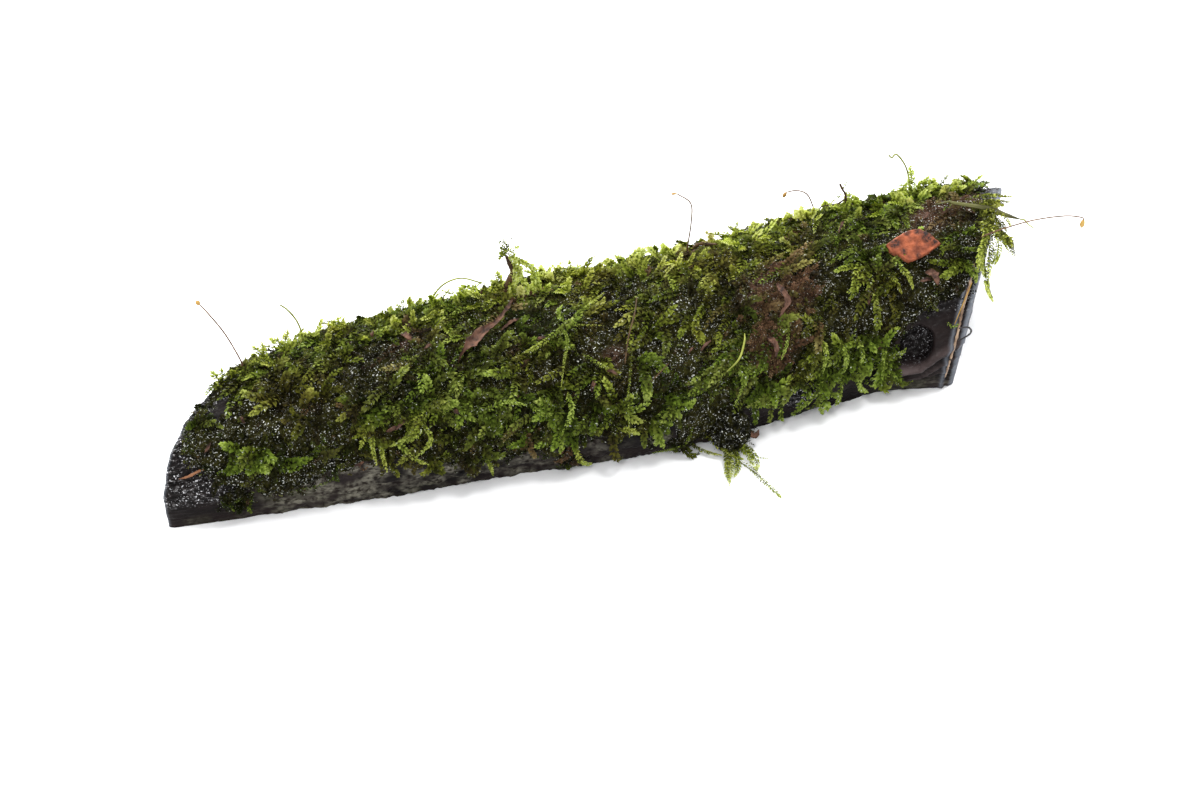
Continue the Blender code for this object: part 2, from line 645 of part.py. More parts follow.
def build_hanging_tuft(material, collection, cutters, trees):
    """The tuft at the front: a lump of old moss at the log's foot, with strands that lie on the table."""
    bpy.ops.mesh.primitive_uv_sphere_add(segments=10, ring_count=7)
    lump = bpy.context.object
    lump.name = "hanging_tuft"
    rng = random.Random(3)
    for corner in lump.data.vertices:
        corner.co = corner.co * rng.uniform(0.88, 1.1)
        corner.co = [place * size for place, size in zip(corner.co, TUFT_SIZE)]
    lump.data.transform(Matrix.Translation(TUFT_CENTRE))
    for owner in list(lump.users_collection):
        owner.objects.unlink(lump)
    collection.objects.link(lump)
    strands = bpy.data.collections.new("tuft_strands")
    cutters.children.link(strands)
    centre = Vector(TUFT_CENTRE)
    for number, (tip, width) in enumerate(TUFT_STRANDS):
        end = Vector((tip[0] * MM, tip[1] * MM, TABLE_CLEARANCE + 0.3 * MM))
        path = [centre, centre.lerp(end, 0.35) + Vector((0, 0, -0.8 * MM)), centre.lerp(end, 0.66), end]
        path[2].z = 0.8 * MM
        strand = bpy.data.objects.new(
            f"strand_{number}", shoot_mesh("strand", path, width * MM, (0, 0, 1), barbs=3))
        strands.objects.link(strand)
        as_helper(strand)
    join = lump.modifiers.new("strands", "BOOLEAN")
    join.operation = "UNION"
    join.operand_type = "COLLECTION"
    join.collection = strands
    bake_modifiers(lump)
    lump.data.materials.clear()
    lump.data.materials.append(material)
    settle(lump, trees, (0.1, -1, 0))
    trees.append(tree_of(lump))


def build_end_drape(material, collection, cutters, trees):
    """The bright moss that hangs over the right cut: three shoots from one root."""
    root = Vector((108.0, -8.0, 37.2)) * MM
    ends = (
        ((112.4, -11.4, 34.6), (108.6, -16.4, 30.6), (105.4, -20.6, 26.4)),
        ((114.6, -7.0, 36.6), (118.0, -5.2, 33.6)),
        ((113.6, -10.2, 36.6), (115.4, -12.4, 32.6)),
    )
    shoots = []
    for number, spots in enumerate(ends):
        path = [root] + [Vector(spot) * MM for spot in spots]
        mesh = shoot_mesh(f"drape_{number}", path, 4.2 * MM, (0.8, -0.4, 0.5), barbs=2, thickness=1.1 * MM)
        shoots.append(mesh)
    drape = object_from("end_drape", shoots[0], material, collection, smooth=False)
    for number, mesh in enumerate(shoots[1:]):
        other = bpy.data.objects.new(f"drape_shoot_{number}", mesh)
        cutters.objects.link(other)
        as_helper(other)
        join = drape.modifiers.new("join", "BOOLEAN")
        join.operation = "UNION"
        join.object = other
    bake_modifiers(drape)
    drape.data.materials.clear()
    drape.data.materials.append(material)
    settle(drape, trees, (1, -0.2, 0.5))
    trees.append(tree_of(drape))


def build_wood_details(bark, fibre, collection, trees):
    """On the bare wood: a splinter at the left end, and a strip of bark and a fibre at the right rim."""
    lines = (
        ("wood_splinter", (-107, 0.50), (-99, 0.26), (0.2, 0.7, 0.8, 0.6, 0.2), bark),
        ("bark_strip", (107.2, 1.0), (107.6, -0.05), (0.4, 0.55, 0.6, 0.5, 0.35), bark),
    )
    for name, start, end, radii, material in lines:
        points = []
        for share in (0, 0.25, 0.5, 0.75, 1):
            along, angle = start[0] + (end[0] - start[0]) * share, start[1] + (end[1] - start[1]) * share
            spot, outward = surface_hit(trees, along * MM, angle)
            points.append(spot + outward * 0.5 * MM)
        thing = object_from(name, tube_mesh(name, points, [r * MM for r in radii]), material, collection)
        settle(thing, trees, outward)
        trees.append(tree_of(thing))
    root, outward = surface_hit(trees, 108 * MM, 0.47)
    foot, _ = surface_hit(trees, 108 * MM, 0.28)
    bow = Vector((2.6, -0.8, 0.6)) * MM
    points = [root, root.lerp(foot, 0.2) + bow, root.lerp(foot, 0.6) + bow * 1.2, foot]
    points = [along_path(points, number / 6) + outward * 0.6 * MM for number in range(7)]
    loop = object_from("bark_fibre", tube_mesh("bark_fibre", points, [0.22 * MM] * 7), fibre, collection)
    settle(loop, trees, outward)


def build_grass_blade(material, collection, trees):
    """A long narrow blade that lies on the mat and sticks out past the right end."""
    root, _ = surface_hit(trees, 78 * MM, 1.80)
    rest, _ = surface_hit(trees, 96 * MM, 1.70)
    tip = Vector((127.4, -1.9, 27.2)) * MM
    path = [root, rest + Vector((0, 0, 0.8)) * MM, Vector((117.0, 1.6, 36.2)) * MM, tip]
    rows = []
    for share, wide in ((0, 0.5), (0.25, 1), (0.5, 1), (0.7, 0.9), (0.85, 0.7), (1, 0.15)):
        spot = along_path(path, share)
        ahead = (along_path(path, share + 0.05) - along_path(path, share - 0.05)).normalized()
        side = ahead.cross(Vector((0.2, -0.6, 0.8))).normalized()
        ridge = side.cross(ahead).normalized()
        rows.append([spot + side * 0.9 * MM * wide, spot + ridge * 0.6 * MM, spot - side * 0.9 * MM * wide])
    mesh = mesh_from_grid("grass_blade", np.array(rows), close_rows=True)
    thing = object_from("grass_blade", mesh, material, collection, smooth=False)
    settle(thing, trees, (0, 0, 1))
    trees.append(tree_of(thing))


def main():
    """Builds the whole object."""
    clear_scene()
    parts = make_collection("christmas_moss_on_driftwood")
    cutters = make_collection("cutters")
    cutters.hide_render = True
    wood = build_driftwood(make_material("driftwood_dark", BARK_BROWN, 0.35), parts, cutters)
    bake_modifiers(wood)
    moss = make_material("moss_green", MOSS_GREEN, 0.55)
    mat = build_mat(moss, parts)
    add_fronds(mat, moss, cutters)
    trees = [tree_of(wood), tree_of(mat)]
    shoot = make_material("shoot_green", SHOOT_GREEN, 0.5)
    dead = make_material("leaf_brown", LEAF_BROWN, 0.5)
    fibre = make_material("fibre_brown", FIBRE_BROWN, 0.5)
    stalk = make_material("stalk_brown", STALK_BROWN, 0.4)
    build_chip(make_material("clay_red", CLAY_RED, 0.6), parts, trees)
    bark = make_material("bark_pale", BARK_PALE, 0.6)
    build_scraps(dead, bark, parts, trees)
    build_stems(fibre, parts, trees)
    build_wood_details(bark, fibre, parts, trees)
    build_grass_blade(make_material("blade_green", BLADE_GREEN, 0.45), parts, trees)
    build_end_drape(shoot, parts, cutters, trees)
    build_hanging_tuft(make_material("hanging_green", HANGING_GREEN, 0.5), parts, cutters, trees)
    build_front_shoots(shoot, parts, trees)
    build_standing_shoots(shoot, parts, trees)
    build_stalks(stalk, stalk, make_material("stem_green", BLADE_GREEN, 0.45), parts, trees)


main()
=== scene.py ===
"""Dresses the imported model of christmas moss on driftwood.

The log's surface is a function of two parameters: the place along the log, and the angle round it,
from the front's widest line at 0 over the top to the back's at pi. Everything that grows or lies on the
log is placed in those two and a lift off the surface. Millimetres are used in the tables and metres in
the meshes.
"""

import logging
import math
from dataclasses import dataclass, field
from enum import Enum

import bpy
import numpy as np
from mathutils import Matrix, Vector


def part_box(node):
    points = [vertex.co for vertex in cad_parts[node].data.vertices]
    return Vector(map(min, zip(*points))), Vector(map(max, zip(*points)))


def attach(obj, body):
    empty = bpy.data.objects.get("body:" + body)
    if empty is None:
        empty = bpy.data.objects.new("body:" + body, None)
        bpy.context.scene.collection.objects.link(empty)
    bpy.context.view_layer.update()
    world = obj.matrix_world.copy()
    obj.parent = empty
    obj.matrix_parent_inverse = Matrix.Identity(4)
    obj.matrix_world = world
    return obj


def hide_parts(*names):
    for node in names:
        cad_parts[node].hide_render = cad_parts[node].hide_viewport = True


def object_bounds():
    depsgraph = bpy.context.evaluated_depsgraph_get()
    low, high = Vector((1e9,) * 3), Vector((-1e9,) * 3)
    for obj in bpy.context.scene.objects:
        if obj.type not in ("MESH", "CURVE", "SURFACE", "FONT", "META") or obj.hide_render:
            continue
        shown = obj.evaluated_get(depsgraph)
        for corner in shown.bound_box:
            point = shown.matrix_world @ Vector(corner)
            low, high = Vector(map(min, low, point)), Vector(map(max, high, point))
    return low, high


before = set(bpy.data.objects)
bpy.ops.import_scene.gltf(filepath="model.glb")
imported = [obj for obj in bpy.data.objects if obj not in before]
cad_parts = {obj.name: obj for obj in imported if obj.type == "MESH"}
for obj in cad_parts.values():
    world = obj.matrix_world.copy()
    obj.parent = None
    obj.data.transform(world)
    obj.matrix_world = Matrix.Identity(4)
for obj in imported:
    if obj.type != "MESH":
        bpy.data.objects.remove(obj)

CAD_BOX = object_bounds()
MM = 0.001
BODY = "root"
log = logging.getLogger("moss")


# Numbers and meshes

def smooth_step(low: float, high: float, value: np.ndarray) -> np.ndarray:
    """0 below low, 1 above high, and a smooth rise between them."""
    t = np.clip((value - low) / (high - low), 0, 1)
    return t * t * (3 - 2 * t)


def unit(vectors: np.ndarray) -> np.ndarray:
    """The vectors at length 1."""
    return vectors / np.maximum(np.linalg.norm(vectors, axis=-1, keepdims=True), 1e-12)


class Noise:
    """Smooth random values between 0 and 1 over a plane, from a lattice of random numbers."""

    def __init__(self, seed: int) -> None:
        """Draws the lattice.

        Args:
            seed: start of the random draws.
        """
        self.lattice = np.random.default_rng(seed).random((256, 256))

    def value(self, u: np.ndarray, v: np.ndarray) -> np.ndarray:
        """Values at places u, v, where one lattice cell is 1 wide.

        Each value blends the cell's four corners by a smooth step in u and in v.
        """
        u0, v0 = np.floor(u).astype(int), np.floor(v).astype(int)
        fu, fv = u - u0, v - v0
        fu, fv = fu * fu * (3 - 2 * fu), fv * fv * (3 - 2 * fv)
        grid = self.lattice
        low = grid[u0 & 255, v0 & 255] * (1 - fu) + grid[(u0 + 1) & 255, v0 & 255] * fu
        high = grid[u0 & 255, (v0 + 1) & 255] * (1 - fu) + grid[(u0 + 1) & 255, (v0 + 1) & 255] * fu
        return low * (1 - fv) + high * fv

    def layered(self, u: np.ndarray, v: np.ndarray, layers: int = 3) -> np.ndarray:
        """Sum of layers, each twice as fine and half as strong, scaled back to 0 to 1."""
        total, weight = np.zeros(np.broadcast(u, v).shape), 0.0
        for layer in range(layers):
            scale = 2.0 ** layer
            total = total + self.value(u * scale + 37.3 * layer, v * scale + 11.9 * layer) / scale
            weight += 1 / scale
        return total / weight


def grid_faces(rows: int, columns: int, closed: bool = False) -> np.ndarray:
    """Quads between neighbouring rows of points.

    Args:
        rows: number of rows.
        columns: points in a row.
        closed: whether a row is a ring.

    Returns:
        Corner numbers, four to a face.
    """
    across = columns if closed else columns - 1
    i, j = np.meshgrid(np.arange(rows - 1), np.arange(across), indexing="ij")
    k = (j + 1) % columns
    quads = np.stack([i * columns + j, i * columns + k, (i + 1) * columns + k, (i + 1) * columns + j], -1)
    return quads.reshape(-1, 4)


def two_sided(outer: np.ndarray, inner: np.ndarray) -> tuple:
    """Closes a skin: its outer grid, its inner grid turned round, and a wall along their edges.

    Args:
        outer: points of the outer side, rows by columns by 3, with rows to the right and columns up.
        inner: points of the inner side.

    Returns:
        All points, and the face arrays.
    """
    rows, columns = outer.shape[:2]
    count = rows * columns
    sheet = grid_faces(rows, columns)
    edge = np.concatenate([
        np.arange(columns), np.arange(1, rows) * columns + columns - 1,
        np.arange(count - 2, count - columns - 1, -1), np.arange(rows - 2, 0, -1) * columns])
    after = np.roll(edge, -1)
    wall = np.stack([edge, after, after + count, edge + count], -1)
    points = np.concatenate([outer.reshape(-1, 3), inner.reshape(-1, 3)])
    return points, [sheet[:, ::-1], sheet + count, wall]


def mesh_piece(name: str, points: np.ndarray, faces: list, material: bpy.types.Material,
               smooth: bool = True, attributes: dict = None, boxed: bool = True) -> bpy.types.Object:
    """Puts points and faces into a new object, at the origin.

    Args:
        name: the object's name.
        points: corner positions in metres.
        faces: arrays of corner numbers, each with one count of corners to a face.
        material: the finish.
        smooth: whether the faces are shaded smooth.
        attributes: colour attributes by name, one colour to a corner.
        boxed: whether points past the CAD's box are brought back to its sides.

    Returns:
        The object.
    """
    if boxed:
        points = np.clip(points, np.array(CAD_BOX[0]), np.array(CAD_BOX[1]))
    corners = np.concatenate([part.reshape(-1) for part in faces]).astype(np.int32)
    totals = np.concatenate([np.full(len(part), part.shape[1]) for part in faces]).astype(np.int32)
    starts = np.concatenate([[0], np.cumsum(totals)[:-1]]).astype(np.int32)
    mesh = bpy.data.meshes.new(name)
    mesh.vertices.add(len(points))
    mesh.vertices.foreach_set("co", points.astype(np.float32).ravel())
    mesh.loops.add(len(corners))
    mesh.loops.foreach_set("vertex_index", corners)
    mesh.polygons.add(len(totals))
    mesh.polygons.foreach_set("loop_start", starts)
    mesh.update(calc_edges=True)
    mesh.polygons.foreach_set("use_smooth", np.full(len(totals), smooth))
    for label, values in (attributes or {}).items():
        layer = mesh.attributes.new(label, "FLOAT_COLOR", "POINT")
        layer.data.foreach_set("color", values.astype(np.float32).ravel())
    mesh.materials.append(material)
    thing = bpy.data.objects.new(name, mesh)
    bpy.context.scene.collection.objects.link(thing)
    return thing


def finish_piece(thing: bpy.types.Object, slot: str, *nodes: str) -> bpy.types.Object:
    """Makes a piece ride on the body and hides the CAD nodes that it stands for."""
    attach(thing, BODY)
    if nodes:
        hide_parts(*nodes)
    log.info("%s: %d faces", thing.name, len(thing.data.polygons))
    return thing


def node_box(node: str) -> np.ndarray:
    """Lowest and highest corner of a CAD node."""
    return np.array([list(corner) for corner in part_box(node)])


# The log's form

ARC_RADIUS = 27 * MM


@dataclass(frozen=True)
class Patch:
    """A round place on the log: along and angle of its middle and its radius in millimetres."""

    along: float
    angle: float
    radius: float

    def reach(self, along: np.ndarray, angle: np.ndarray) -> np.ndarray:
        """How far inside the patch places are, in millimetres, below 0 outside it."""
        arc = (angle - self.angle) * ARC_RADIUS / MM
        return self.radius - np.hypot(along / MM - self.along, arc)

@dataclass(frozen=True)
class LogForm:
    """The split log as the CAD has it, with the finer relief of its wood."""

    stations: tuple = (
        (-111, -18.5, 17.5, 25.0), (-88, -21.5, 21.5, 28.5), (-57, -24.2, 24.0, 30.5),
        (-27, -26.2, 24.5, 30.0),
        (5, -28.8, 25.0, 30.5), (35, -30.4, 27.5, 32.0), (62, -27.2, 28.5, 33.5), (89, -23.6, 28.0, 34.5),
        (101, -26.6, 26.0, 34.5), (111, -29.0, 25.0, 34.5),
    )
    half_length: float = 111 * MM
    widest_at: float = 7 * MM
    undercut: float = 18 * MM
    shoulder: float = 0.86
    left_skew: float = 0.97
    right_skew: float = 0.64
    left_bow: float = 7.6
    right_lean: float = 0.13
    edge_wear: float = 1.0 * MM
    wear_length: float = 2.2 * MM
    knot: tuple = (97 * MM, 0.27)
    knot_radius: float = 3.9 * MM
    knot_depth: float = 6.5 * MM
    collar_height: float = 1.5 * MM
    collar_width: float = 3.2 * MM
    radius: float = ARC_RADIUS
    ridge_line: tuple = ((88, 0.02), (95, 0.07), (100, 0.09), (104, 0.17), (107.5, 0.22), (111, 0.27))
    noise: Noise = field(default_factory=lambda: Noise(11))

    @property
    def foot(self) -> float:
        """Angle at which the front meets the table."""
        return -math.asin(self.widest_at / self.undercut)

    def sections(self, along: np.ndarray) -> list:
        """Front foot, back foot and height at places along the log.

        Straight lines between the stations, smoothed by a rounded window about 24 mm long.
        """
        table = np.array(self.stations) * MM
        fine = np.linspace(-self.half_length, self.half_length, 112)
        window = np.hanning(13)
        window /= window.sum()
        values = []
        for column in (1, 2, 3):
            raw = np.interp(fine, table[:, 0], table[:, column])
            padded = np.concatenate([np.full(6, raw[0]), raw, np.full(6, raw[-1])])
            values.append(np.interp(along, fine, np.convolve(padded, window, "valid")))
        return values

    def knot_distance(self, along: np.ndarray, angle: np.ndarray) -> np.ndarray:
        """Distance over the surface from the knot's centre."""
        return np.hypot(along - self.knot[0], (angle - self.knot[1]) * 26 * MM)

    def relief(self, along: np.ndarray, angle: np.ndarray) -> np.ndarray:
        """Broad relief: waves along and round the log, flutes of the grain, and the knot's collar."""
        s = along / MM
        lumps = 0.55 * np.sin(s / 17 + 1.3 * angle) * np.sin(s / 29 - 2.1 * angle + 1)
        flutes = 0.32 * np.sin(11 * angle + 0.9 * np.sin(s / 37)) + 0.18 * np.sin(19 * angle - s / 55 + 2)
        away = self.knot_distance(along, angle)
        collar = self.collar_height * np.exp(-(((away - self.knot_radius - 2 * MM) / self.collar_width) ** 2))
        return (lumps + flutes) * MM + collar

    def point(self, along: np.ndarray, angle: np.ndarray, lift: np.ndarray = 0.0,
              shrink: float = 1.0) -> np.ndarray:
        """Points of the surface.

        The upper half of a section is a full-shouldered ellipse and the lower one an ellipse that the
        table cuts off. Each section is sheared along X by the slant of the two cuts.

        Args:
            along: places along the log, in metres.
            angle: angles round it.
            lift: distance off the surface.
            shrink: share of the way out from the middle of the section.

        Returns:
            Points in metres.
        """
        along, angle = np.broadcast_arrays(np.asarray(along, float), np.asarray(angle, float))
        front, back, height = self.sections(along)
        foot_cos = math.sqrt(1 - (self.widest_at / self.undercut) ** 2)
        middle, half = (front + back) / 2, (back - front) / 2 / foot_cos
        near_end = self.half_length - np.abs(along)
        worn = self.edge_wear * (1 - np.sqrt(np.clip(near_end / self.wear_length, 0, 1)))
        out = lift + self.relief(along, angle) - worn
        sine, cosine = np.sin(angle), np.cos(angle)
        rise = np.where(sine > 0, np.abs(sine) ** self.shoulder * (height - self.widest_at),
                        sine * self.undercut)
        core = 0.42 * height
        y = (-(half + out) * cosine) * shrink + middle
        z = core + (self.widest_at + rise + out * sine - core) * shrink
        share = (along + self.half_length) / (2 * self.half_length)
        skew = self.left_skew + (self.right_skew - self.left_skew) * share
        x = along + skew * y + self.left_bow * (1 - share) * y * y + self.right_lean * share * z
        return np.stack([x, y, z], -1)

    def normal(self, along: np.ndarray, angle: np.ndarray) -> np.ndarray:
        """Outward directions: the cross product of small steps along and round the surface."""
        inside = self.half_length - self.wear_length
        along = np.clip(along, -inside, inside)
        step_s, step_a = 0.8 * MM, 0.03
        du = self.point(along + step_s, angle) - self.point(along - step_s, angle)
        dv = self.point(along, angle + step_a) - self.point(along, angle - step_a)
        return unit(np.cross(du, dv))

    def off(self, along: np.ndarray, angle: np.ndarray, lift: np.ndarray) -> np.ndarray:
        """Points that stand off the surface by lift, straight out."""
        lift = np.broadcast_to(np.asarray(lift, float), np.broadcast(along, angle).shape)
        return self.point(along, angle) + self.normal(along, angle) * lift[..., None]

    def pit(self, along: np.ndarray, angle: np.ndarray) -> np.ndarray:
        """Depth of the knot's hole, below 0 inside it, with a sloping and uneven wall."""
        s, arc = along / MM, angle * self.radius / MM
        uneven = 1 + 0.2 * (self.noise.value(s / 2.1, arc / 2.1) - 0.5)
        away = self.knot_distance(along, angle) / MM * uneven
        floor = 1 + 0.08 * (self.noise.layered(s / 1.0, arc / 1.0, 2) - 0.5)
        return -self.knot_depth * smooth_step(6.0, 2.2, away) * floor

    def sweep(self, along: np.ndarray, angle: np.ndarray) -> np.ndarray:
        """Relief of the wood that sweeps under the knot: a broad round ridge, a groove and narrower ledges.

        All follow one line that rises towards the right cut, at growing distances below it.
        """
        table = np.array(self.ridge_line)
        s = along / MM
        off = (angle - np.interp(s, table[:, 0], table[:, 1])) * self.radius / MM
        off = off + 0.5 * (self.noise.layered(s / 4, off / 3 + 50, 2) - 0.5)
        ridge = 1.25 * np.exp(-((off / 1.35) ** 2)) - 1.0 * np.exp(-(((off + 2.3) / 0.62) ** 2))
        ledges = 0.55 * np.exp(-(((off + 3.5) / 0.8) ** 2)) - 0.6 * np.exp(-(((off + 4.7) / 0.45) ** 2))
        ledges = ledges + 0.4 * np.exp(-(((off + 5.6) / 0.6) ** 2))
        ledges = ledges - 0.45 * np.exp(-(((off + 6.8) / 0.4) ** 2))
        return (ridge + ledges) * smooth_step(89, 95, s) * MM

    def rough_share(self, along: np.ndarray, angle: np.ndarray) -> np.ndarray:
        """1 where the wood is granular and wet, 0 where it is smooth."""
        s = along / MM
        left = smooth_step(-86, -92, s) * smooth_step(-0.02, 0.06, angle)
        smooth_spot = smooth_step(-1, 1, Patch(-101, 1.28, 4.0).reach(along, angle))
        pit = smooth_step(5.2, 4.2, self.knot_distance(along, angle) / MM)
        hollow = smooth_step(-1, 1, Patch(66, -0.02, 4.5).reach(along, angle))
        under = 0.5 * smooth_step(0.5, 0.7, angle) * smooth_step(88, 92, s)
        return np.clip(np.maximum.reduce([left * (1 - smooth_spot), 0.6 * pit, hollow, under]), 0, 1)

    def grain(self, along: np.ndarray, angle: np.ndarray) -> np.ndarray:
        """Fine relief of the bare wood.

        Ridges of the grain run along the log and bend round the knot. The front foot is ragged and flaky,
        with a small knob, and the knot is a pit.
        """
        s, arc = along / MM, angle * self.radius / MM
        knot_s, knot_arc = self.knot[0] / MM, self.knot[1] * self.radius / MM
        near = np.exp(-(((s - knot_s) / 9) ** 2) - ((arc - knot_arc) / 8) ** 2)
        bent = arc + np.sign(arc - knot_arc) * 3.4 * near + 1.2 * self.noise.layered(s / 21, arc / 9, 2)
        lines = 0.5 + 0.5 * np.sin(bent * 3.3 + 3 * self.noise.value(s / 16, bent / 2.2))
        ridges = 0.30 * (lines ** 2) * (0.4 + self.noise.layered(s / 12, bent / 1.4, 3))
        pores = 0.36 * self.noise.layered(s / 1.6, bent / 0.9, 3)
        grit = 0.6 * self.rough_share(along, angle) * (self.noise.layered(s / 0.9 + 5, arc / 0.9, 2) - 0.4)
        low = smooth_step(0.24, -0.12, angle) * smooth_step(-90, -80, s) * smooth_step(92, 80, s)
        flakes = np.abs(self.noise.layered(s / 7.5, arc / 3.6 + 9, 4) - 0.5) * 2
        crumbs = self.noise.layered(s / 1.1, arc / 1.0 + 3, 3) - 0.5
        ragged = low * (1.8 * flakes ** 0.9 - 0.5 + 0.9 * crumbs)
        knob = 1.3 * np.exp(-(((s - 33) / 2.2) ** 2) - ((arc + 7.5) / 2.6) ** 2)
        pit = self.pit(along, angle) / MM
        rim = smooth_step(1.4, 1.0, angle)
        groove = -0.7 * np.exp(-(((s - 108.9) / 0.5) ** 2)) * rim
        bump = 0.45 * np.exp(-(((s - 107.7) / 0.7) ** 2)) * rim
        inside = smooth_step(4.4, 3.0, self.knot_distance(along, angle) / MM)
        texture = (ridges + pores - 0.36) * (1 - 0.6 * inside)
        return (texture + grit + ragged + knob + pit + groove + bump) * MM + self.sweep(along, angle)


FORM = LogForm()


@dataclass(frozen=True)
class MossField:
    """Where the moss grows, how thick its bed is and how light it looks."""

    left_end: float = -109.5
    right_end: float = 109.5
    border: tuple = (
        (-112, 0.98), (-110, 0.84), (-101, 0.47), (-94, 0.25), (-89, 0.08), (-82, -0.02), (-76.5, 0.03),
        (-72, 0.08), (-65.5, 0.17), (-57, 0.22), (-49, 0.24), (-41, 0.20), (-31.5, 0.07), (-19, 0.05),
        (-7.5, 0.06),
        (2, 0.09), (12, 0.13), (19, 0.11), (23, -0.10), (30.5, -0.20), (37.5, -0.16), (43, 0.0), (50.5, 0.06),
        (53, 0.13), (56, 0.16), (61, 0.23), (67, 0.20), (70, 0.10), (74.5, 0.06), (84, 0.04), (89.5, 0.07),
        (92.5, 0.16), (94.5, 0.36), (96, 0.53), (98, 0.60), (104, 0.70), (112, 0.78))
    extra: tuple = (Patch(-90, 0.02, 5.0), Patch(1, -0.05, 3.6), Patch(5, -0.2, 2.2))
    bare: tuple = (Patch(66, 0.0, 4.2), Patch(26.5, -0.01, 3.3), Patch(-101, 1.30, 4.2),
                   Patch(-4, 1.62, 2.6), Patch(97, 0.27, 6.0), Patch(109.5, 2.02, 6.0),
                   Patch(109.5, 2.5, 6.5), Patch(-81.5, -0.12, 3.5), Patch(50, -0.10, 3.0))
    light: tuple = (
        (-106, 1.75, 2), (-92, 1.56, 4), (-98, 1.55, 3), (-84, 1.24, 2.6), (-74, 0.94, 2.4), (-72, 1.49, 3),
        (-90, 0.73, 2.4), (-86, 0.63, 2.6), (-82, 0.54, 2.2), (-60, 0.82, 2.6), (-52, 0.88, 3.4),
        (-44, 1.21, 2.6), (-39, 0.80, 4), (-42, 0.79, 4), (-32, 0.73, 2.6), (-26, 0.74, 2.6),
        (-22, 0.54, 2.6),
        (-44, 2.30, 4), (-30, 2.16, 5), (-21, 2.16, 3), (-7, 1.91, 4), (0, 1.90, 3.4), (14, 1.41, 3.6),
        (20, 1.73, 5), (32, 1.65, 4), (36, 1.73, 3.4), (36, 1.40, 2.6), (30, 1.24, 3.2), (18, 1.09, 2.4),
        (-20, 1.24, 3.4), (-10, 1.18, 4), (-6, 1.38, 2.6), (-18, 0.86, 3.2), (6, 0.89, 2.8), (18, 0.74, 2.8),
        (-34, 1.03, 2.6), (-4, 0.44, 4), (-7, 0.63, 2.6), (12, 0.44, 2), (22, 0.24, 2.2), (28, 0.44, 3.4),
        (37, 0.65, 3.2), (45, 0.65, 3.2), (51, 0.30, 3.2), (56, 0.30, 3), (66, 0.57, 4), (72, 0.24, 4.4),
        (67, 0.36, 3),
        (78, 0.39, 4), (87, 0.20, 2.4), (91, 0.24, 2.4), (52, 0.76, 2), (38, 1.90, 3.4), (47, 2.16, 4.4),
        (52, 1.58, 3.2), (72, 1.67, 3.4), (86, 1.99, 4), (80, 1.75, 3.2), (74, 1.21, 3.4), (82, 1.00, 4),
        (-80, 1.90, 4), (-70, 1.95, 4), (-64, 2.13, 4), (-49, 1.96, 4), (-42, 1.93, 3), (55, 2.11, 4),
        (60, 2.26, 4), (98, 2.0, 3), (72, 2.20, 4), (101, 1.30, 2.4), (105, 1.10, 2),
    )
    murk: tuple = (Patch(-4, 1.60, 8), Patch(29, 0.91, 9), Patch(14, 1.11, 8), Patch(36, 0.20, 9),
                   Patch(-71, 0.66, 9), Patch(-76, 0.34, 9), Patch(84, 1.34, 6), Patch(79, 0.75, 7),
                   Patch(62, 1.25, 7), Patch(-24, 1.08, 4), Patch(-66, 1.15, 7), Patch(-98, 1.20, 6),
                   Patch(52, 0.90, 5), Patch(-66, 0.28, 7), Patch(94, 0.75, 7), Patch(-101, 0.80, 9),
                   Patch(-92, 1.02, 7), Patch(-80, 0.95, 8), Patch(-93, 0.40, 7), Patch(-80, 0.20, 7),
                   Patch(-62, 1.45, 6), Patch(-20, 0.20, 4), Patch(20, 0.55, 5), Patch(98, 0.95, 7),
                   Patch(-86, 0.90, 6), Patch(24, 1.10, 8), Patch(36, 0.48, 5), Patch(-12, 0.90, 4),
                   Patch(92, 0.55, 7), Patch(103, 0.75, 7), Patch(90, 1.60, 8), Patch(-58, 1.20, 5),
                   Patch(102, 1.25, 7), Patch(96, 1.10, 6), Patch(104, 1.75, 6),
                   Patch(22, 0.80, 8), Patch(30, 0.62, 7), Patch(2, 1.12, 5))
    brown: tuple = (Patch(46, 1.26, 5.5), Patch(56, 1.03, 6), Patch(50, 0.70, 3.5), Patch(56, 0.62, 4.5),
                    Patch(8, 0.91, 3), Patch(-56, 1.52, 3), Patch(92, 1.64, 7), Patch(102, 1.75, 6),
                    Patch(20, 2.20, 4), Patch(-30, 1.75, 3), Patch(56, 0.45, 3))
    noise: Noise = field(default_factory=lambda: Noise(23))

    def front_border(self, along: np.ndarray) -> np.ndarray:
        """Angle of the moss's lower border on the front: straight lines between the marks."""
        table = np.array(self.border)
        return np.interp(along / MM, table[:, 0], table[:, 1])

    def back_border(self, along: np.ndarray) -> np.ndarray:
        """Angle of the moss's lower border on the back."""
        s = along / MM
        return math.pi - 0.12 + 0.07 * np.sin(s / 11 + 2) + 0.06 * np.sin(s / 5.3)

    def inside(self, along: np.ndarray, angle: np.ndarray) -> np.ndarray:
        """How far inside the mat's ragged border places are, in millimetres."""
        s = along / MM
        front, back = self.front_border(along), self.back_border(along)
        arc = FORM.radius / MM
        depth = np.minimum(np.minimum(s - self.left_end, self.right_end - s),
                           np.minimum(angle - front, back - angle) * arc)
        for patch in self.extra:
            depth = np.maximum(depth, patch.reach(along, angle))
        for patch in self.bare:
            depth = np.minimum(depth, -patch.reach(along, angle))
        return depth + 4.5 * (self.noise.layered(s / 5, angle * arc / 5, 3) - 0.5)

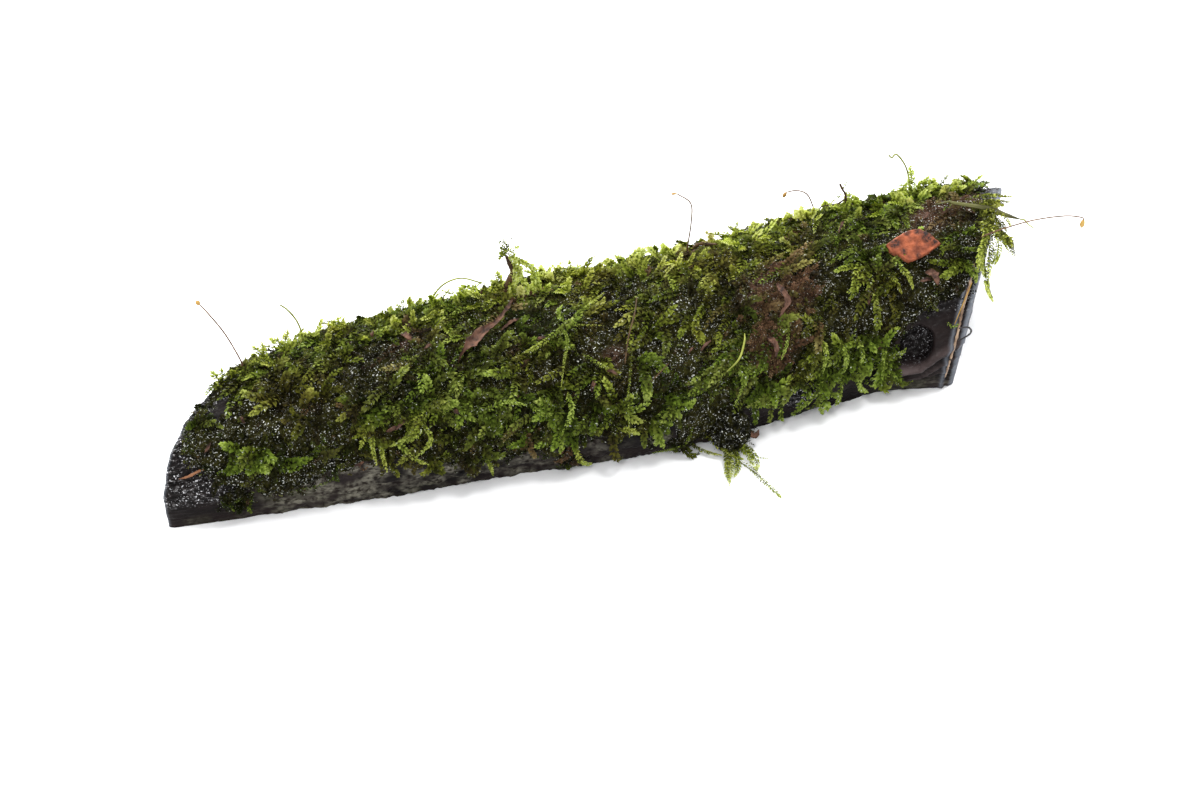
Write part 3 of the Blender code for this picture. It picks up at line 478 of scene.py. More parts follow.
    def bed_lift(self, along: np.ndarray, angle: np.ndarray) -> np.ndarray:
        """Height of the moss's dark bed over the wood: below it outside the border, lumpy inside."""
        s, arc = along / MM, angle * FORM.radius / MM
        cover = smooth_step(-1.0, 3.0, self.inside(along, angle))
        waves = np.sin(s / 5.3 + 1.1 * np.sin(3.1 * angle)) * np.sin(6.1 * angle + 0.9 * np.sin(s / 11))
        lumps = 1 + 0.34 * waves
        lumps = lumps + 0.24 * np.sin(s / 9.1 - 1.7) * np.cos(3.7 * angle + s / 41)
        rough = 1.3 * (self.noise.layered(s / 1.7, arc / 1.7, 3) - 0.5)
        return (-0.9 + cover * (0.9 + 1.3 * lumps) + cover * rough) * MM + FORM.pit(along, angle)

    def gather(self, along: np.ndarray, angle: np.ndarray, patches: tuple) -> np.ndarray:
        """1 well inside any of the patches and 0 outside them."""
        most = np.zeros(np.broadcast(along, angle).shape)
        for patch in patches:
            most = np.maximum(most, smooth_step(-2.5, 2.5, patch.reach(along, angle)))
        return most


FIELD = MossField()


# Finishes

def new_material(name: str) -> tuple:
    """A material with only a Principled shader and its output.

    Returns:
        The material, its node tree and the shader.
    """
    material = bpy.data.materials.new(name)
    material.use_nodes = True
    tree = material.node_tree
    return material, tree, tree.nodes["Principled BSDF"]


def ramp(tree: bpy.types.NodeTree, factor: bpy.types.NodeSocket, stops: tuple) -> bpy.types.NodeSocket:
    """A colour ramp on a value.

    Args:
        tree: the node tree.
        factor: the value.
        stops: position and colour of each stop.

    Returns:
        The colour.
    """
    node = tree.nodes.new("ShaderNodeValToRGB")
    band = node.color_ramp
    while len(band.elements) < len(stops):
        band.elements.new(0.5)
    for element, (position, colour) in zip(band.elements, stops):
        element.position = position
        element.color = (*colour, 1)
    tree.links.new(factor, node.inputs[0])
    return node.outputs[0]


def mix(tree: bpy.types.NodeTree, factor: object, first: object, second: object) -> bpy.types.NodeSocket:
    """Mixes two colours, each a socket or a plain colour."""
    node = tree.nodes.new("ShaderNodeMix")
    node.data_type = "RGBA"
    for place, value in ((0, factor), (6, first), (7, second)):
        if isinstance(value, bpy.types.NodeSocket):
            tree.links.new(value, node.inputs[place])
        else:
            node.inputs[place].default_value = (*value, 1) if place else value
    return node.outputs[2]


def sum_of(tree: bpy.types.NodeTree, operation: str, first: object, second: object) -> bpy.types.NodeSocket:
    """A Math node on two values, each a socket or a number, held between 0 and 1."""
    node = tree.nodes.new("ShaderNodeMath")
    node.operation = operation
    node.use_clamp = True
    for place, value in ((0, first), (1, second)):
        if isinstance(value, bpy.types.NodeSocket):
            tree.links.new(value, node.inputs[place])
        else:
            node.inputs[place].default_value = value
    return node.outputs[0]


def speckle_group() -> bpy.types.NodeTree:
    """A node group of fine noise in two sizes, over Object coordinates.

    Its inputs are the two scales and a stretch along X. It puts out the coarse and the fine value.
    """
    if "speckle" in bpy.data.node_groups:
        return bpy.data.node_groups["speckle"]
    group = bpy.data.node_groups.new("speckle", "ShaderNodeTree")
    for name, value in (("Coarse Scale", 200.0), ("Fine Scale", 900.0), ("Stretch", 1.0)):
        socket = group.interface.new_socket(name, in_out="INPUT", socket_type="NodeSocketFloat")
        socket.default_value = value
    for name in ("Coarse", "Fine"):
        group.interface.new_socket(name, in_out="OUTPUT", socket_type="NodeSocketFloat")
    entry, leave = group.nodes.new("NodeGroupInput"), group.nodes.new("NodeGroupOutput")
    place = group.nodes.new("ShaderNodeTexCoord")
    spread = group.nodes.new("ShaderNodeCombineXYZ")
    spread.inputs[1].default_value = spread.inputs[2].default_value = 1
    group.links.new(entry.outputs["Stretch"], spread.inputs[0])
    scaled = group.nodes.new("ShaderNodeVectorMath")
    scaled.operation = "MULTIPLY"
    group.links.new(place.outputs["Object"], scaled.inputs[0])
    group.links.new(spread.outputs[0], scaled.inputs[1])
    for name, detail in (("Coarse", 4.0), ("Fine", 3.0)):
        noise = group.nodes.new("ShaderNodeTexNoise")
        noise.inputs["Detail"].default_value = detail
        group.links.new(scaled.outputs[0], noise.inputs["Vector"])
        group.links.new(entry.outputs[f"{name} Scale"], noise.inputs["Scale"])
        group.links.new(noise.outputs["Fac"], leave.inputs[name])
    return group


def add_speckle(tree: bpy.types.NodeTree, coarse: float, fine: float, stretch: float = 1.0) -> bpy.types.Node:
    """Places the speckle group in a material with its own values."""
    node = tree.nodes.new("ShaderNodeGroup")
    node.node_tree = speckle_group()
    node.inputs["Coarse Scale"].default_value = coarse
    node.inputs["Fine Scale"].default_value = fine
    node.inputs["Stretch"].default_value = stretch
    return node


def add_bump(tree: bpy.types.NodeTree, height: bpy.types.NodeSocket, strength: float, distance: float,
             before: bpy.types.NodeSocket = None) -> bpy.types.NodeSocket:
    """A bump from a height, on top of an earlier one if there is one."""
    node = tree.nodes.new("ShaderNodeBump")
    node.inputs["Strength"].default_value = strength
    node.inputs["Distance"].default_value = distance
    tree.links.new(height, node.inputs["Height"])
    if before is not None:
        tree.links.new(before, node.inputs["Normal"])
    return node.outputs[0]


def add_painted_glints(tree: bpy.types.NodeTree, colour: bpy.types.NodeSocket, share: bpy.types.NodeSocket,
               pale: tuple) -> bpy.types.NodeSocket:
    """Strews fine pale specks over a colour, where share says so, thick here and thin there: painted glints.
    """
    glint_noise = add_speckle(tree, 260, 2000)
    thick = ramp(tree, glint_noise.outputs["Coarse"], ((0.36, (0.0,) * 3), (0.56, (1.0,) * 3)))
    spot = ramp(tree, glint_noise.outputs["Fine"], ((0.61, (0.0,) * 3), (0.66, (1.0,) * 3)))
    glint_amount = sum_of(tree, "MULTIPLY", sum_of(tree, "MULTIPLY", thick, spot), share)
    return mix(tree, glint_amount, colour, pale)


def read_attribute(tree: bpy.types.NodeTree, name: str) -> tuple:
    """The three channels of a colour attribute."""
    node = tree.nodes.new("ShaderNodeAttribute")
    node.attribute_name = name
    split = tree.nodes.new("ShaderNodeSeparateColor")
    tree.links.new(node.outputs["Color"], split.inputs[0])
    return split.outputs[0], split.outputs[1], split.outputs[2]


@dataclass(frozen=True)
class WoodFinish:
    """Wet dark wood. Its attribute says how much is grey bark, how much is cut end and how granular it is.

    A second attribute lightens the ridge that sweeps under the knot: a painted highlight on its raised band.
    """

    name: str = "wet_driftwood"
    dark: tuple = (0.002, 0.0015, 0.0015)
    warm: tuple = (0.012, 0.0080, 0.0075)
    worn: tuple = (0.030, 0.022, 0.021)
    # colour of the painted highlight on the raised ridge under the knot
    ridge_highlight: tuple = (0.075, 0.056, 0.054)
    bark: tuple = (0.170, 0.160, 0.128)
    bark_dark: tuple = (0.014, 0.011, 0.008)
    algae: tuple = (0.085, 0.095, 0.050)
    cut_end: tuple = (0.120, 0.130, 0.150)

    def build(self) -> bpy.types.Material:
        """Makes the material."""
        material, tree, shader = new_material(self.name)
        bark, end, rough = read_attribute(tree, "wood_tone")
        speckle = add_speckle(tree, 130, 700, 0.2)
        spots = add_speckle(tree, 70, 1100, 0.6)
        colour = ramp(tree, speckle.outputs["Coarse"],
                      ((0.34, self.dark), (0.60, self.warm), (0.78, self.worn)))
        grit = ramp(tree, spots.outputs["Fine"], ((0.40, self.dark), (0.75, self.warm)))
        colour = mix(tree, rough, colour, grit)
        # Painted highlight: the raised ridge under the knot is lightened.
        ridge, _, _ = read_attribute(tree, "painted_ridge_highlight")
        colour = mix(tree, ridge, colour,
                     ramp(tree, speckle.outputs["Coarse"], ((0.32, self.warm), (0.62, self.ridge_highlight))))
        rind = ramp(tree, spots.outputs["Fine"], ((0.36, self.bark_dark), (0.60, self.bark)))
        green = ramp(tree, spots.outputs["Coarse"], ((0.50, (0.0,) * 3), (0.70, (0.6,) * 3)))
        rind = mix(tree, green, rind, self.algae)
        colour = mix(tree, bark, colour, rind)
        colour = mix(tree, end, colour, self.cut_end)
        # Painted glints: pale specks strewn over the wood where it is granular and wet.
        colour = add_painted_glints(tree, colour, rough, (0.60, 0.60, 0.62))
        tree.links.new(colour, shader.inputs["Base Color"])
        dull = ramp(tree, bark, ((0.0, (0.5,) * 3), (1.0, (0.8,) * 3)))
        tree.links.new(dull, shader.inputs["Roughness"])
        shader.inputs["Specular IOR Level"].default_value = 0.06
        drops = ramp(tree, spots.outputs["Fine"], ((0.56, (0.0,) * 3), (0.61, (1.0,) * 3)))
        wet = sum_of(tree, "ADD", sum_of(tree, "MULTIPLY", rough, drops), 0.04)
        tree.links.new(sum_of(tree, "SUBTRACT", wet, bark), shader.inputs["Coat Weight"])
        shader.inputs["Coat Roughness"].default_value = 0.07
        first = add_bump(tree, speckle.outputs["Fine"], 0.6, 0.4 * MM)
        second = add_bump(tree, spots.outputs["Fine"], 0.8, 0.5 * MM, first)
        tree.links.new(second, shader.inputs["Normal"])
        tree.links.new(second, shader.inputs["Coat Normal"])
        return material


@dataclass(frozen=True)
class BedFinish:
    """The dark wet bed under the shoots, black to olive with brown places."""

    name: str = "moss_bed"
    black: tuple = (0.0025, 0.0025, 0.0012)
    olive: tuple = (0.023, 0.022, 0.005)
    brown: tuple = (0.050, 0.028, 0.018)

    def build(self) -> bpy.types.Material:
        """Makes the material."""
        material, tree, shader = new_material(self.name)
        light, brown, wet = read_attribute(tree, "growth")
        speckle = add_speckle(tree, 650, 1500)
        blend = sum_of(tree, "MULTIPLY", speckle.outputs["Coarse"], 1.3)
        blend = sum_of(tree, "ADD", blend, sum_of(tree, "MULTIPLY", light, 0.15))
        colour = ramp(tree, blend, ((0.55, self.black), (0.95, self.olive)))
        colour = mix(tree, brown, colour, self.brown)
        # Painted glints: pale specks strewn over the bed where it is wet.
        colour = add_painted_glints(tree, colour, wet, (0.70, 0.72, 0.68))
        tree.links.new(colour, shader.inputs["Base Color"])
        shader.inputs["Roughness"].default_value = 0.8
        shader.inputs["Specular IOR Level"].default_value = 0.01
        drops = ramp(tree, speckle.outputs["Fine"], ((0.58, (0.0,) * 3), (0.62, (1.0,) * 3)))
        tree.links.new(sum_of(tree, "MULTIPLY", wet, drops), shader.inputs["Coat Weight"])
        shader.inputs["Coat Roughness"].default_value = 0.08
        raised = add_bump(tree, speckle.outputs["Fine"], 1.0, 1.0 * MM)
        tree.links.new(raised, shader.inputs["Normal"])
        tree.links.new(raised, shader.inputs["Coat Normal"])
        return material


@dataclass(frozen=True)
class LeafFinish:
    """Thin moss leaves, which light comes through. Their attribute is lightness, brownness and wetness."""

    name: str = "moss_leaf"
    stops: tuple = (
        (0.0, (0.0050, 0.0045, 0.0010)), (0.25, (0.025, 0.0245, 0.0040)), (0.48, (0.098, 0.098, 0.012)),
        (0.70, (0.205, 0.222, 0.028)), (0.86, (0.370, 0.395, 0.066)), (1.0, (0.740, 0.760, 0.280)),
    )
    green_stops: tuple = (
        (0.0, (0.0040, 0.0045, 0.0010)), (0.25, (0.016, 0.0225, 0.0038)), (0.48, (0.064, 0.097, 0.010)),
        (0.70, (0.150, 0.216, 0.026)), (0.86, (0.290, 0.385, 0.062)), (1.0, (0.640, 0.750, 0.270)),
    )
    # The bright and lush ramps are paler copies of the leaf ramps: painted light, making the shoots they are
    # used on glow as if lit through.
    bright_stops: tuple = (
        (0.0, (0.012, 0.013, 0.003)), (0.35, (0.110, 0.120, 0.016)), (0.60, (0.330, 0.350, 0.050)),
        (0.80, (0.640, 0.660, 0.160)), (1.0, (0.950, 0.960, 0.560)),
    )
    lush_stops: tuple = (
        (0.0, (0.009, 0.012, 0.002)), (0.35, (0.085, 0.112, 0.013)), (0.60, (0.260, 0.325, 0.040)),
        (0.80, (0.540, 0.610, 0.120)), (1.0, (0.880, 0.940, 0.460)),
    )
    bright: bool = False
    brown: tuple = ((0.05, (0.016, 0.010, 0.007)), (0.5, (0.130, 0.068, 0.038)), (0.9, (0.340, 0.205, 0.135)))
    through: float = 0.42
    roughness: float = 0.42

    def build(self) -> bpy.types.Material:
        """Makes the material."""
        material, tree, shader = new_material(self.name)
        light, brown, wet = read_attribute(tree, "growth")
        speckle = add_speckle(tree, 45, 1500)
        change = sum_of(tree, "MULTIPLY", speckle.outputs["Coarse"], 0.24)
        shade = sum_of(tree, "SUBTRACT", sum_of(tree, "ADD", light, change), 0.12)
        green = ramp(tree, speckle.outputs["Coarse"], ((0.32, (0.0,) * 3), (0.52, (1.0,) * 3)))
        first, second = (self.bright_stops, self.lush_stops) if self.bright else (self.stops,
                                                                                  self.green_stops)
        colour = mix(tree, green, ramp(tree, shade, first), ramp(tree, shade, second))
        colour = mix(tree, brown, colour, ramp(tree, shade, self.brown))
        # Painted glints: pale specks strewn over the wet leaves.
        colour = add_painted_glints(tree, colour, wet, (0.72, 0.74, 0.66))
        tree.links.new(colour, shader.inputs["Base Color"])
        shader.inputs["Roughness"].default_value = self.roughness
        shader.inputs["Specular IOR Level"].default_value = 0.03
        drops = ramp(tree, speckle.outputs["Fine"], ((0.57, (0.0,) * 3), (0.62, (1.0,) * 3)))
        tree.links.new(sum_of(tree, "MULTIPLY", wet, drops), shader.inputs["Coat Weight"])
        shader.inputs["Coat Roughness"].default_value = 0.08
        raised = add_bump(tree, speckle.outputs["Fine"], 1.0, 0.5 * MM)
        tree.links.new(raised, shader.inputs["Normal"])
        tree.links.new(raised, shader.inputs["Coat Normal"])
        glow = tree.nodes.new("ShaderNodeBsdfTranslucent")
        tree.links.new(colour, glow.inputs["Color"])
        both = tree.nodes.new("ShaderNodeMixShader")
        both.inputs[0].default_value = self.through
        tree.links.new(shader.outputs[0], both.inputs[1])
        tree.links.new(glow.outputs[0], both.inputs[2])
        tree.links.new(both.outputs[0], tree.nodes["Material Output"].inputs["Surface"])
        return material


@dataclass(frozen=True)
class MottledFinish:
    """Two or three colours in patches, with a bump, for clay, dead leaves, stems and bark."""

    name: str
    stops: tuple
    coarse: float = 400
    fine: float = 1500
    stretch: float = 1.0
    roughness: float = 0.5
    coat: float = 0.0
    bump: float = 0.5
    depth: float = 0.25
    specular: float = 0.2

    def build(self) -> bpy.types.Material:
        """Makes the material."""
        material, tree, shader = new_material(self.name)
        speckle = add_speckle(tree, self.coarse, self.fine, self.stretch)
        colour = ramp(tree, speckle.outputs["Coarse"], self.stops)
        tree.links.new(colour, shader.inputs["Base Color"])
        shader.inputs["Roughness"].default_value = self.roughness
        shader.inputs["Specular IOR Level"].default_value = self.specular
        shader.inputs["Coat Weight"].default_value = self.coat
        shader.inputs["Coat Roughness"].default_value = 0.15
        raised = add_bump(tree, speckle.outputs["Fine"], self.bump, self.depth * MM)
        tree.links.new(raised, shader.inputs["Normal"])
        return material


@dataclass(frozen=True)
class ClayFinish:
    """Burnt clay with black stains. Its attribute says where it is stained and where its top is; its sides
    are painted lighter as painted light.
    """

    name: str = "red_clay"
    dark: tuple = (0.120, 0.030, 0.014)
    light: tuple = (0.270, 0.072, 0.030)
    # lighter colour of the sides and underside: painted light on the sides
    lit_side_colour: tuple = (0.340, 0.110, 0.055)
    stain: tuple = (0.010, 0.007, 0.007)

    def build(self) -> bpy.types.Material:
        """Makes the material."""
        material, tree, shader = new_material(self.name)
        stain, top, _ = read_attribute(tree, "clay_tone")
        speckle = add_speckle(tree, 420, 1700)
        colour = ramp(tree, speckle.outputs["Coarse"], ((0.34, self.dark), (0.60, self.light)))
        # Painted light: the sides and underside get a lighter ramp than the top.
        side = ramp(tree, speckle.outputs["Coarse"], ((0.34, self.light), (0.60, self.lit_side_colour)))
        colour = mix(tree, top, side, colour)
        grain = ramp(tree, speckle.outputs["Fine"], ((0.40, (0.45,) * 3), (0.62, (1.0,) * 3)))
        black = sum_of(tree, "MULTIPLY", stain, grain)
        tree.links.new(mix(tree, black, colour, self.stain), shader.inputs["Base Color"])
        shader.inputs["Roughness"].default_value = 0.7
        shader.inputs["Specular IOR Level"].default_value = 0.2
        raised = add_bump(tree, speckle.outputs["Fine"], 0.9, 0.35 * MM)
        tree.links.new(raised, shader.inputs["Normal"])
        return material


class Finish(Enum):
    """The finishes, each made once."""

    WOOD = WoodFinish()
    BED = BedFinish()
    LEAF = LeafFinish()
    # Leaf finishes on the paler ramps: painted light for the crest, the standing shoots, the tuft's strands
    # and the drape.
    BRIGHT_LEAF = LeafFinish("bright_moss_leaf", bright=True, through=0.6)
    YOUNG_LEAF = LeafFinish("pale_moss_leaf", bright=True, through=0.3)
    STALK = MottledFinish("spore_stalk", ((0.3, (0.070, 0.034, 0.018)), (0.7, (0.140, 0.078, 0.040))), 300,
                          900, roughness=0.45, bump=0.15)
    CAPSULE = MottledFinish("spore_capsule", ((0.3, (0.26, 0.13, 0.03)), (0.7, (0.42, 0.27, 0.06))), 500,
                            1600, roughness=0.35, coat=0.3, bump=0.2)
    CLAY = ClayFinish()
    DEAD_LEAF = MottledFinish("dead_leaf", ((0.35, (0.020, 0.009, 0.006)), (0.7, (0.140, 0.068, 0.042))),
                              520, 1600, roughness=0.6, bump=0.8)
    TWIG = MottledFinish("brown_twig", ((0.35, (0.018, 0.009, 0.004)), (0.7, (0.100, 0.056, 0.022))), 500,
                         1600, roughness=0.6, bump=0.6)
    BARK = MottledFinish("pale_bark", ((0.35, (0.10, 0.058, 0.035)), (0.7, (0.34, 0.24, 0.16))), 300, 1600,
                         roughness=0.5, coat=0.2, bump=0.7)
    ORANGE = MottledFinish("orange_splinter", ((0.3, (0.09, 0.035, 0.015)), (0.7, (0.26, 0.11, 0.045))), 400,
                           1600, roughness=0.5, coat=0.1, bump=0.5)
    OCHRE = MottledFinish("ochre_stem", ((0.3, (0.16, 0.085, 0.012)), (0.7, (0.36, 0.21, 0.035))), 400, 1600,
                          roughness=0.5, bump=0.4)
    FIBRE = MottledFinish("dark_fibre", ((0.3, (0.008, 0.007, 0.008)), (0.7, (0.030, 0.027, 0.027))), 400,
                          1600, roughness=0.5, bump=0.4)
    STEM = MottledFinish("green_stem", ((0.3, (0.12, 0.135, 0.018)), (0.7, (0.25, 0.27, 0.05))), 300, 1000,
                         roughness=0.45, bump=0.2)
    BLADE = MottledFinish("grass_blade", ((0.36, (0.020, 0.019, 0.007)), (0.62, (0.085, 0.085, 0.022))), 200,
                          900, 0.5, roughness=0.5, bump=0.4)

    @property
    def material(self) -> bpy.types.Material:
        """The material, made at its first use."""
        return bpy.data.materials.get(self.value.name) or self.value.build()


# Leafy shoots

@dataclass
class Foliage:
    """Collects leaves and stems from many shoots, and makes one mesh of them."""

    points: list = field(default_factory=list)
    faces: list = field(default_factory=list)
    tints: list = field(default_factory=list)
    count: int = 0

    def add(self, points: np.ndarray, faces: np.ndarray, tints: np.ndarray) -> None:
        """Adds corners, faces and one tint to a corner."""
        self.points.append(points)
        self.faces.append(faces + self.count)
        self.tints.append(tints)
        self.count += len(points)

    def add_leaves(self, base: np.ndarray, ahead: np.ndarray, face: np.ndarray, length: np.ndarray,
                   width: np.ndarray, tint: np.ndarray) -> None:
        """Adds leaves, each a thin closed blade of four corners.

        The keel runs from base to tip, and the two side corners stand out at two fifths of the length and
        a little above it, so a leaf is a shallow trough.

        Args:
            base: where each leaf grows from.
            ahead: the way it points.
            face: the way its upper face looks, about square to ahead.
            length: its length.
            width: its width.
            tint: its colour values, three to a leaf.
        """
        side = unit(np.cross(ahead, face))
        face = np.cross(side, ahead)
        length, width = length[:, None], width[:, None]
        belly = base + ahead * length * 0.42 + face * width * 0.22
        tip = base + ahead * length - face * length * 0.10
        corners = np.stack([base, belly + side * width / 2, belly - side * width / 2, tip], 1)
        order = np.array([[0, 1, 2], [0, 3, 1], [0, 2, 3], [1, 3, 2]])
        count = len(base)
        faces = (np.arange(count)[:, None, None] * 4 + order).reshape(-1, 3)
        # Painted shade and light on each leaf: its base corner darkened, as shade under its neighbours, and
        # its tip lightened.
        graded = np.repeat(tint[:, None], 4, axis=1)
        graded[..., 0] *= np.array([0.55, 1.0, 1.0, 1.3])
        self.add(corners.reshape(-1, 3), faces, graded.reshape(-1, 3))

    def add_stems(self, path: np.ndarray, radius: np.ndarray, tint: np.ndarray) -> None:
        """Adds three-sided stems along paths.

        Args:
            path: points of each stem, shaped stems by points by 3.
            radius: radius at each point, shaped stems by points.
            tint: colour values of each stem, three to a stem.
        """
        stems, steps, _ = path.shape
        ahead = unit(np.gradient(path, axis=1))
        hint = np.where(np.abs(ahead[..., 2:]) > 0.9, [[[1.0, 0, 0]]], [[[0, 0, 1.0]]])
        side = unit(np.cross(ahead, hint))
        up = np.cross(side, ahead)
        rings = []
        for turn in (0, 2 * math.pi / 3, 4 * math.pi / 3):
            rings.append(path + (side * math.cos(turn) + up * math.sin(turn)) * radius[..., None])
        points = np.stack(rings, 2).reshape(-1, 3)
        wall = grid_faces(steps, 3, closed=True)
        walls = np.concatenate([wall[:, [0, 1, 2]], wall[:, [0, 2, 3]]])
        last = (steps - 1) * 3
        ends = np.array([[0, 2, 1], [last, last + 1, last + 2]])
        one = np.concatenate([walls, ends])
        faces = (np.arange(stems)[:, None, None] * steps * 3 + one).reshape(-1, 3)
        self.add(points, faces, np.repeat(tint, steps * 3, axis=0))

    def build(self, name: str, finish: Finish = Finish.LEAF) -> bpy.types.Object:
        """Makes the joined mesh."""
        tints = np.concatenate(self.tints)
        colours = np.concatenate([tints, np.ones((len(tints), 1))], 1)
        return mesh_piece(name, np.concatenate(self.points), [np.concatenate(self.faces)], finish.material,
                          smooth=False, attributes={"growth": colours})


def leaf_profile(share: np.ndarray) -> np.ndarray:
    """Leaf length along a shoot: short at its foot, full soon after, and shorter just before its tip."""
    return (0.45 + 0.55 * smooth_step(0, 0.15, share)) * (1 - 0.5 * share ** 5)


def dress_paths(foliage: Foliage, path: object, rows: tuple, leaf: np.ndarray, light: np.ndarray,
                brown: np.ndarray, rng: np.random.Generator, stem: float = 0.09,
                open_angle: float = 1.1, wet: float = 0.12, broad: float = 0.8, foot: float = 0.4,
                patchy: float = 0.06) -> None:
    """Sets leaves along shoots, and their stems.

    A leaf leans off the stem by open_angle, less near the tip, in one of a few rows round the stem.

    Args:
        foliage: what the leaves are added to.
        path: function from shares of the length to points and outward directions.
        rows: turn of each leaf row round the stem, 0 being straight up off the log, and its leaves.
        leaf: leaf length of each shoot.
        light: lightness of each shoot.
        brown: brownness of each shoot.
        rng: random draws.
        stem: stem radius as a share of the leaf length.
        open_angle: how far leaves lean off the stem.
        wet: share of the leaves that are wet, with a glossy coat and painted glints.
        broad: width of a leaf as a share of its length.
        foot: lightness of the lowest leaves as a share of the shoot's; the darker foot is partly painted
            shade.
        patchy: how far leaves differ in lightness.
    """
    count = len(leaf)
    step = 0.02
    for row, (turn, leaves) in enumerate(rows):
        share = (np.arange(leaves)[None, :] + 0.5 * (row % 2) + 0.3) / leaves
        share = np.clip(share + rng.uniform(-0.25, 0.25, (count, leaves)) / leaves, 0.02, 0.99)
        spot, out = path(share)
        ahead = unit(path(np.minimum(share + step, 1))[0] - path(share - step)[0])
        side = unit(np.cross(ahead, out))
        out = np.cross(side, ahead)
        lean = open_angle * (1 - 0.6 * share ** 3) * rng.uniform(0.85, 1.12, share.shape)
        swing = turn + rng.uniform(-0.3, 0.3, share.shape)
        radial = side * np.sin(swing)[..., None] + out * np.cos(swing)[..., None]
        way = unit(ahead * np.cos(lean)[..., None] + radial * np.sin(lean)[..., None])
        face = unit(out + radial * 0.25 - ahead * 0.3 + rng.normal(0, 0.18, way.shape))
        length = leaf[:, None] * leaf_profile(share) * rng.uniform(0.8, 1.15, share.shape)
        width = length * broad * rng.uniform(0.86, 1.14, share.shape)
        # Leaves darken from tip to foot: partly the shoot's own paler tip, partly painted shade of the mat
        # over its lower leaves.
        shade = light[:, None] * (foot + (1.06 - foot) * share) + rng.normal(0, patchy, share.shape)
        glint = (rng.random(share.shape) < wet).astype(float)
        tint = np.stack([np.clip(shade, 0, 1), np.broadcast_to(brown[:, None], share.shape), glint], -1)
        foliage.add_leaves(spot.reshape(-1, 3), way.reshape(-1, 3), face.reshape(-1, 3), length.ravel(),
                           width.ravel(), tint.reshape(-1, 3))
    if stem:
        marks = np.broadcast_to(np.linspace(0, 0.97, 4), (count, 4))
        spot, _ = path(marks)
        radius = leaf[:, None] * stem * (1 - 0.6 * marks)
        tint = np.stack([light * 0.6, np.minimum(brown + 0.25, 1), np.zeros(count)], -1)
        foliage.add_stems(spot, radius, tint)


@dataclass(frozen=True)
class Growth:
    """How a kind of shoot grows on the log. Lengths are in millimetres, with a low and a high value.

    rows gives the turn of each leaf row and its leaves; rise is the share of the length that goes
    straight off the log; broad is a leaf's width as a share of its length; shun_murk is how far the kind
    keeps out of the murky places, dim how much darker it is there, and foot the lightness of its lowest
    leaves as a share of the rest, which is partly painted shade of the mat over them.
    """

    length: tuple
    leaf: tuple
    rows: tuple
    arch: tuple
    droop: float
    spread: float
    stem: float
    rise: float = 0.0
    wet: float = 0.12
    shun_murk: float = 0.0
    dim: float = 0.22
    foot: float = 0.4
    broad: float = 0.6


class Habit(Enum):
    """The kinds of shoot."""

    TALL = Growth((5.5, 10.5), (1.35, 1.9), ((-1.4, 14), (1.4, 14), (0.4, 6), (-0.4, 6)), (1.6, 3.8), 0.9,
                  1.1, 0.07, wet=0.2, shun_murk=0.95)
    SHORT = Growth((3.0, 6.0), (1.05, 1.5), ((-1.25, 9), (1.25, 9), (0.0, 4)), (0.8, 2.4), 0.7, 1.9, 0.0,
                   wet=0.35, shun_murk=0.8, dim=0.15)
    TINY = Growth((1.2, 2.8), (0.5, 0.9), ((-1.1, 4), (1.1, 4)), (0.6, 1.8), 0.3, 3.0, 0.0, wet=0.75,
                  dim=0.03, broad=0.7)
    CREST = Growth((3.4, 7.4), (1.2, 1.7), ((-1.4, 12), (1.4, 12), (0.0, 6)), (0.2, 0.8), 0.6, 2.0, 0.07,
                   rise=0.6, shun_murk=0.8, dim=0.3, foot=0.65)
    FELT = Growth((3.0, 6.0), (0.5, 0.9), ((-1.0, 10), (1.0, 10)), (1.2, 3.0), 1.0, 1.6, 0.16)


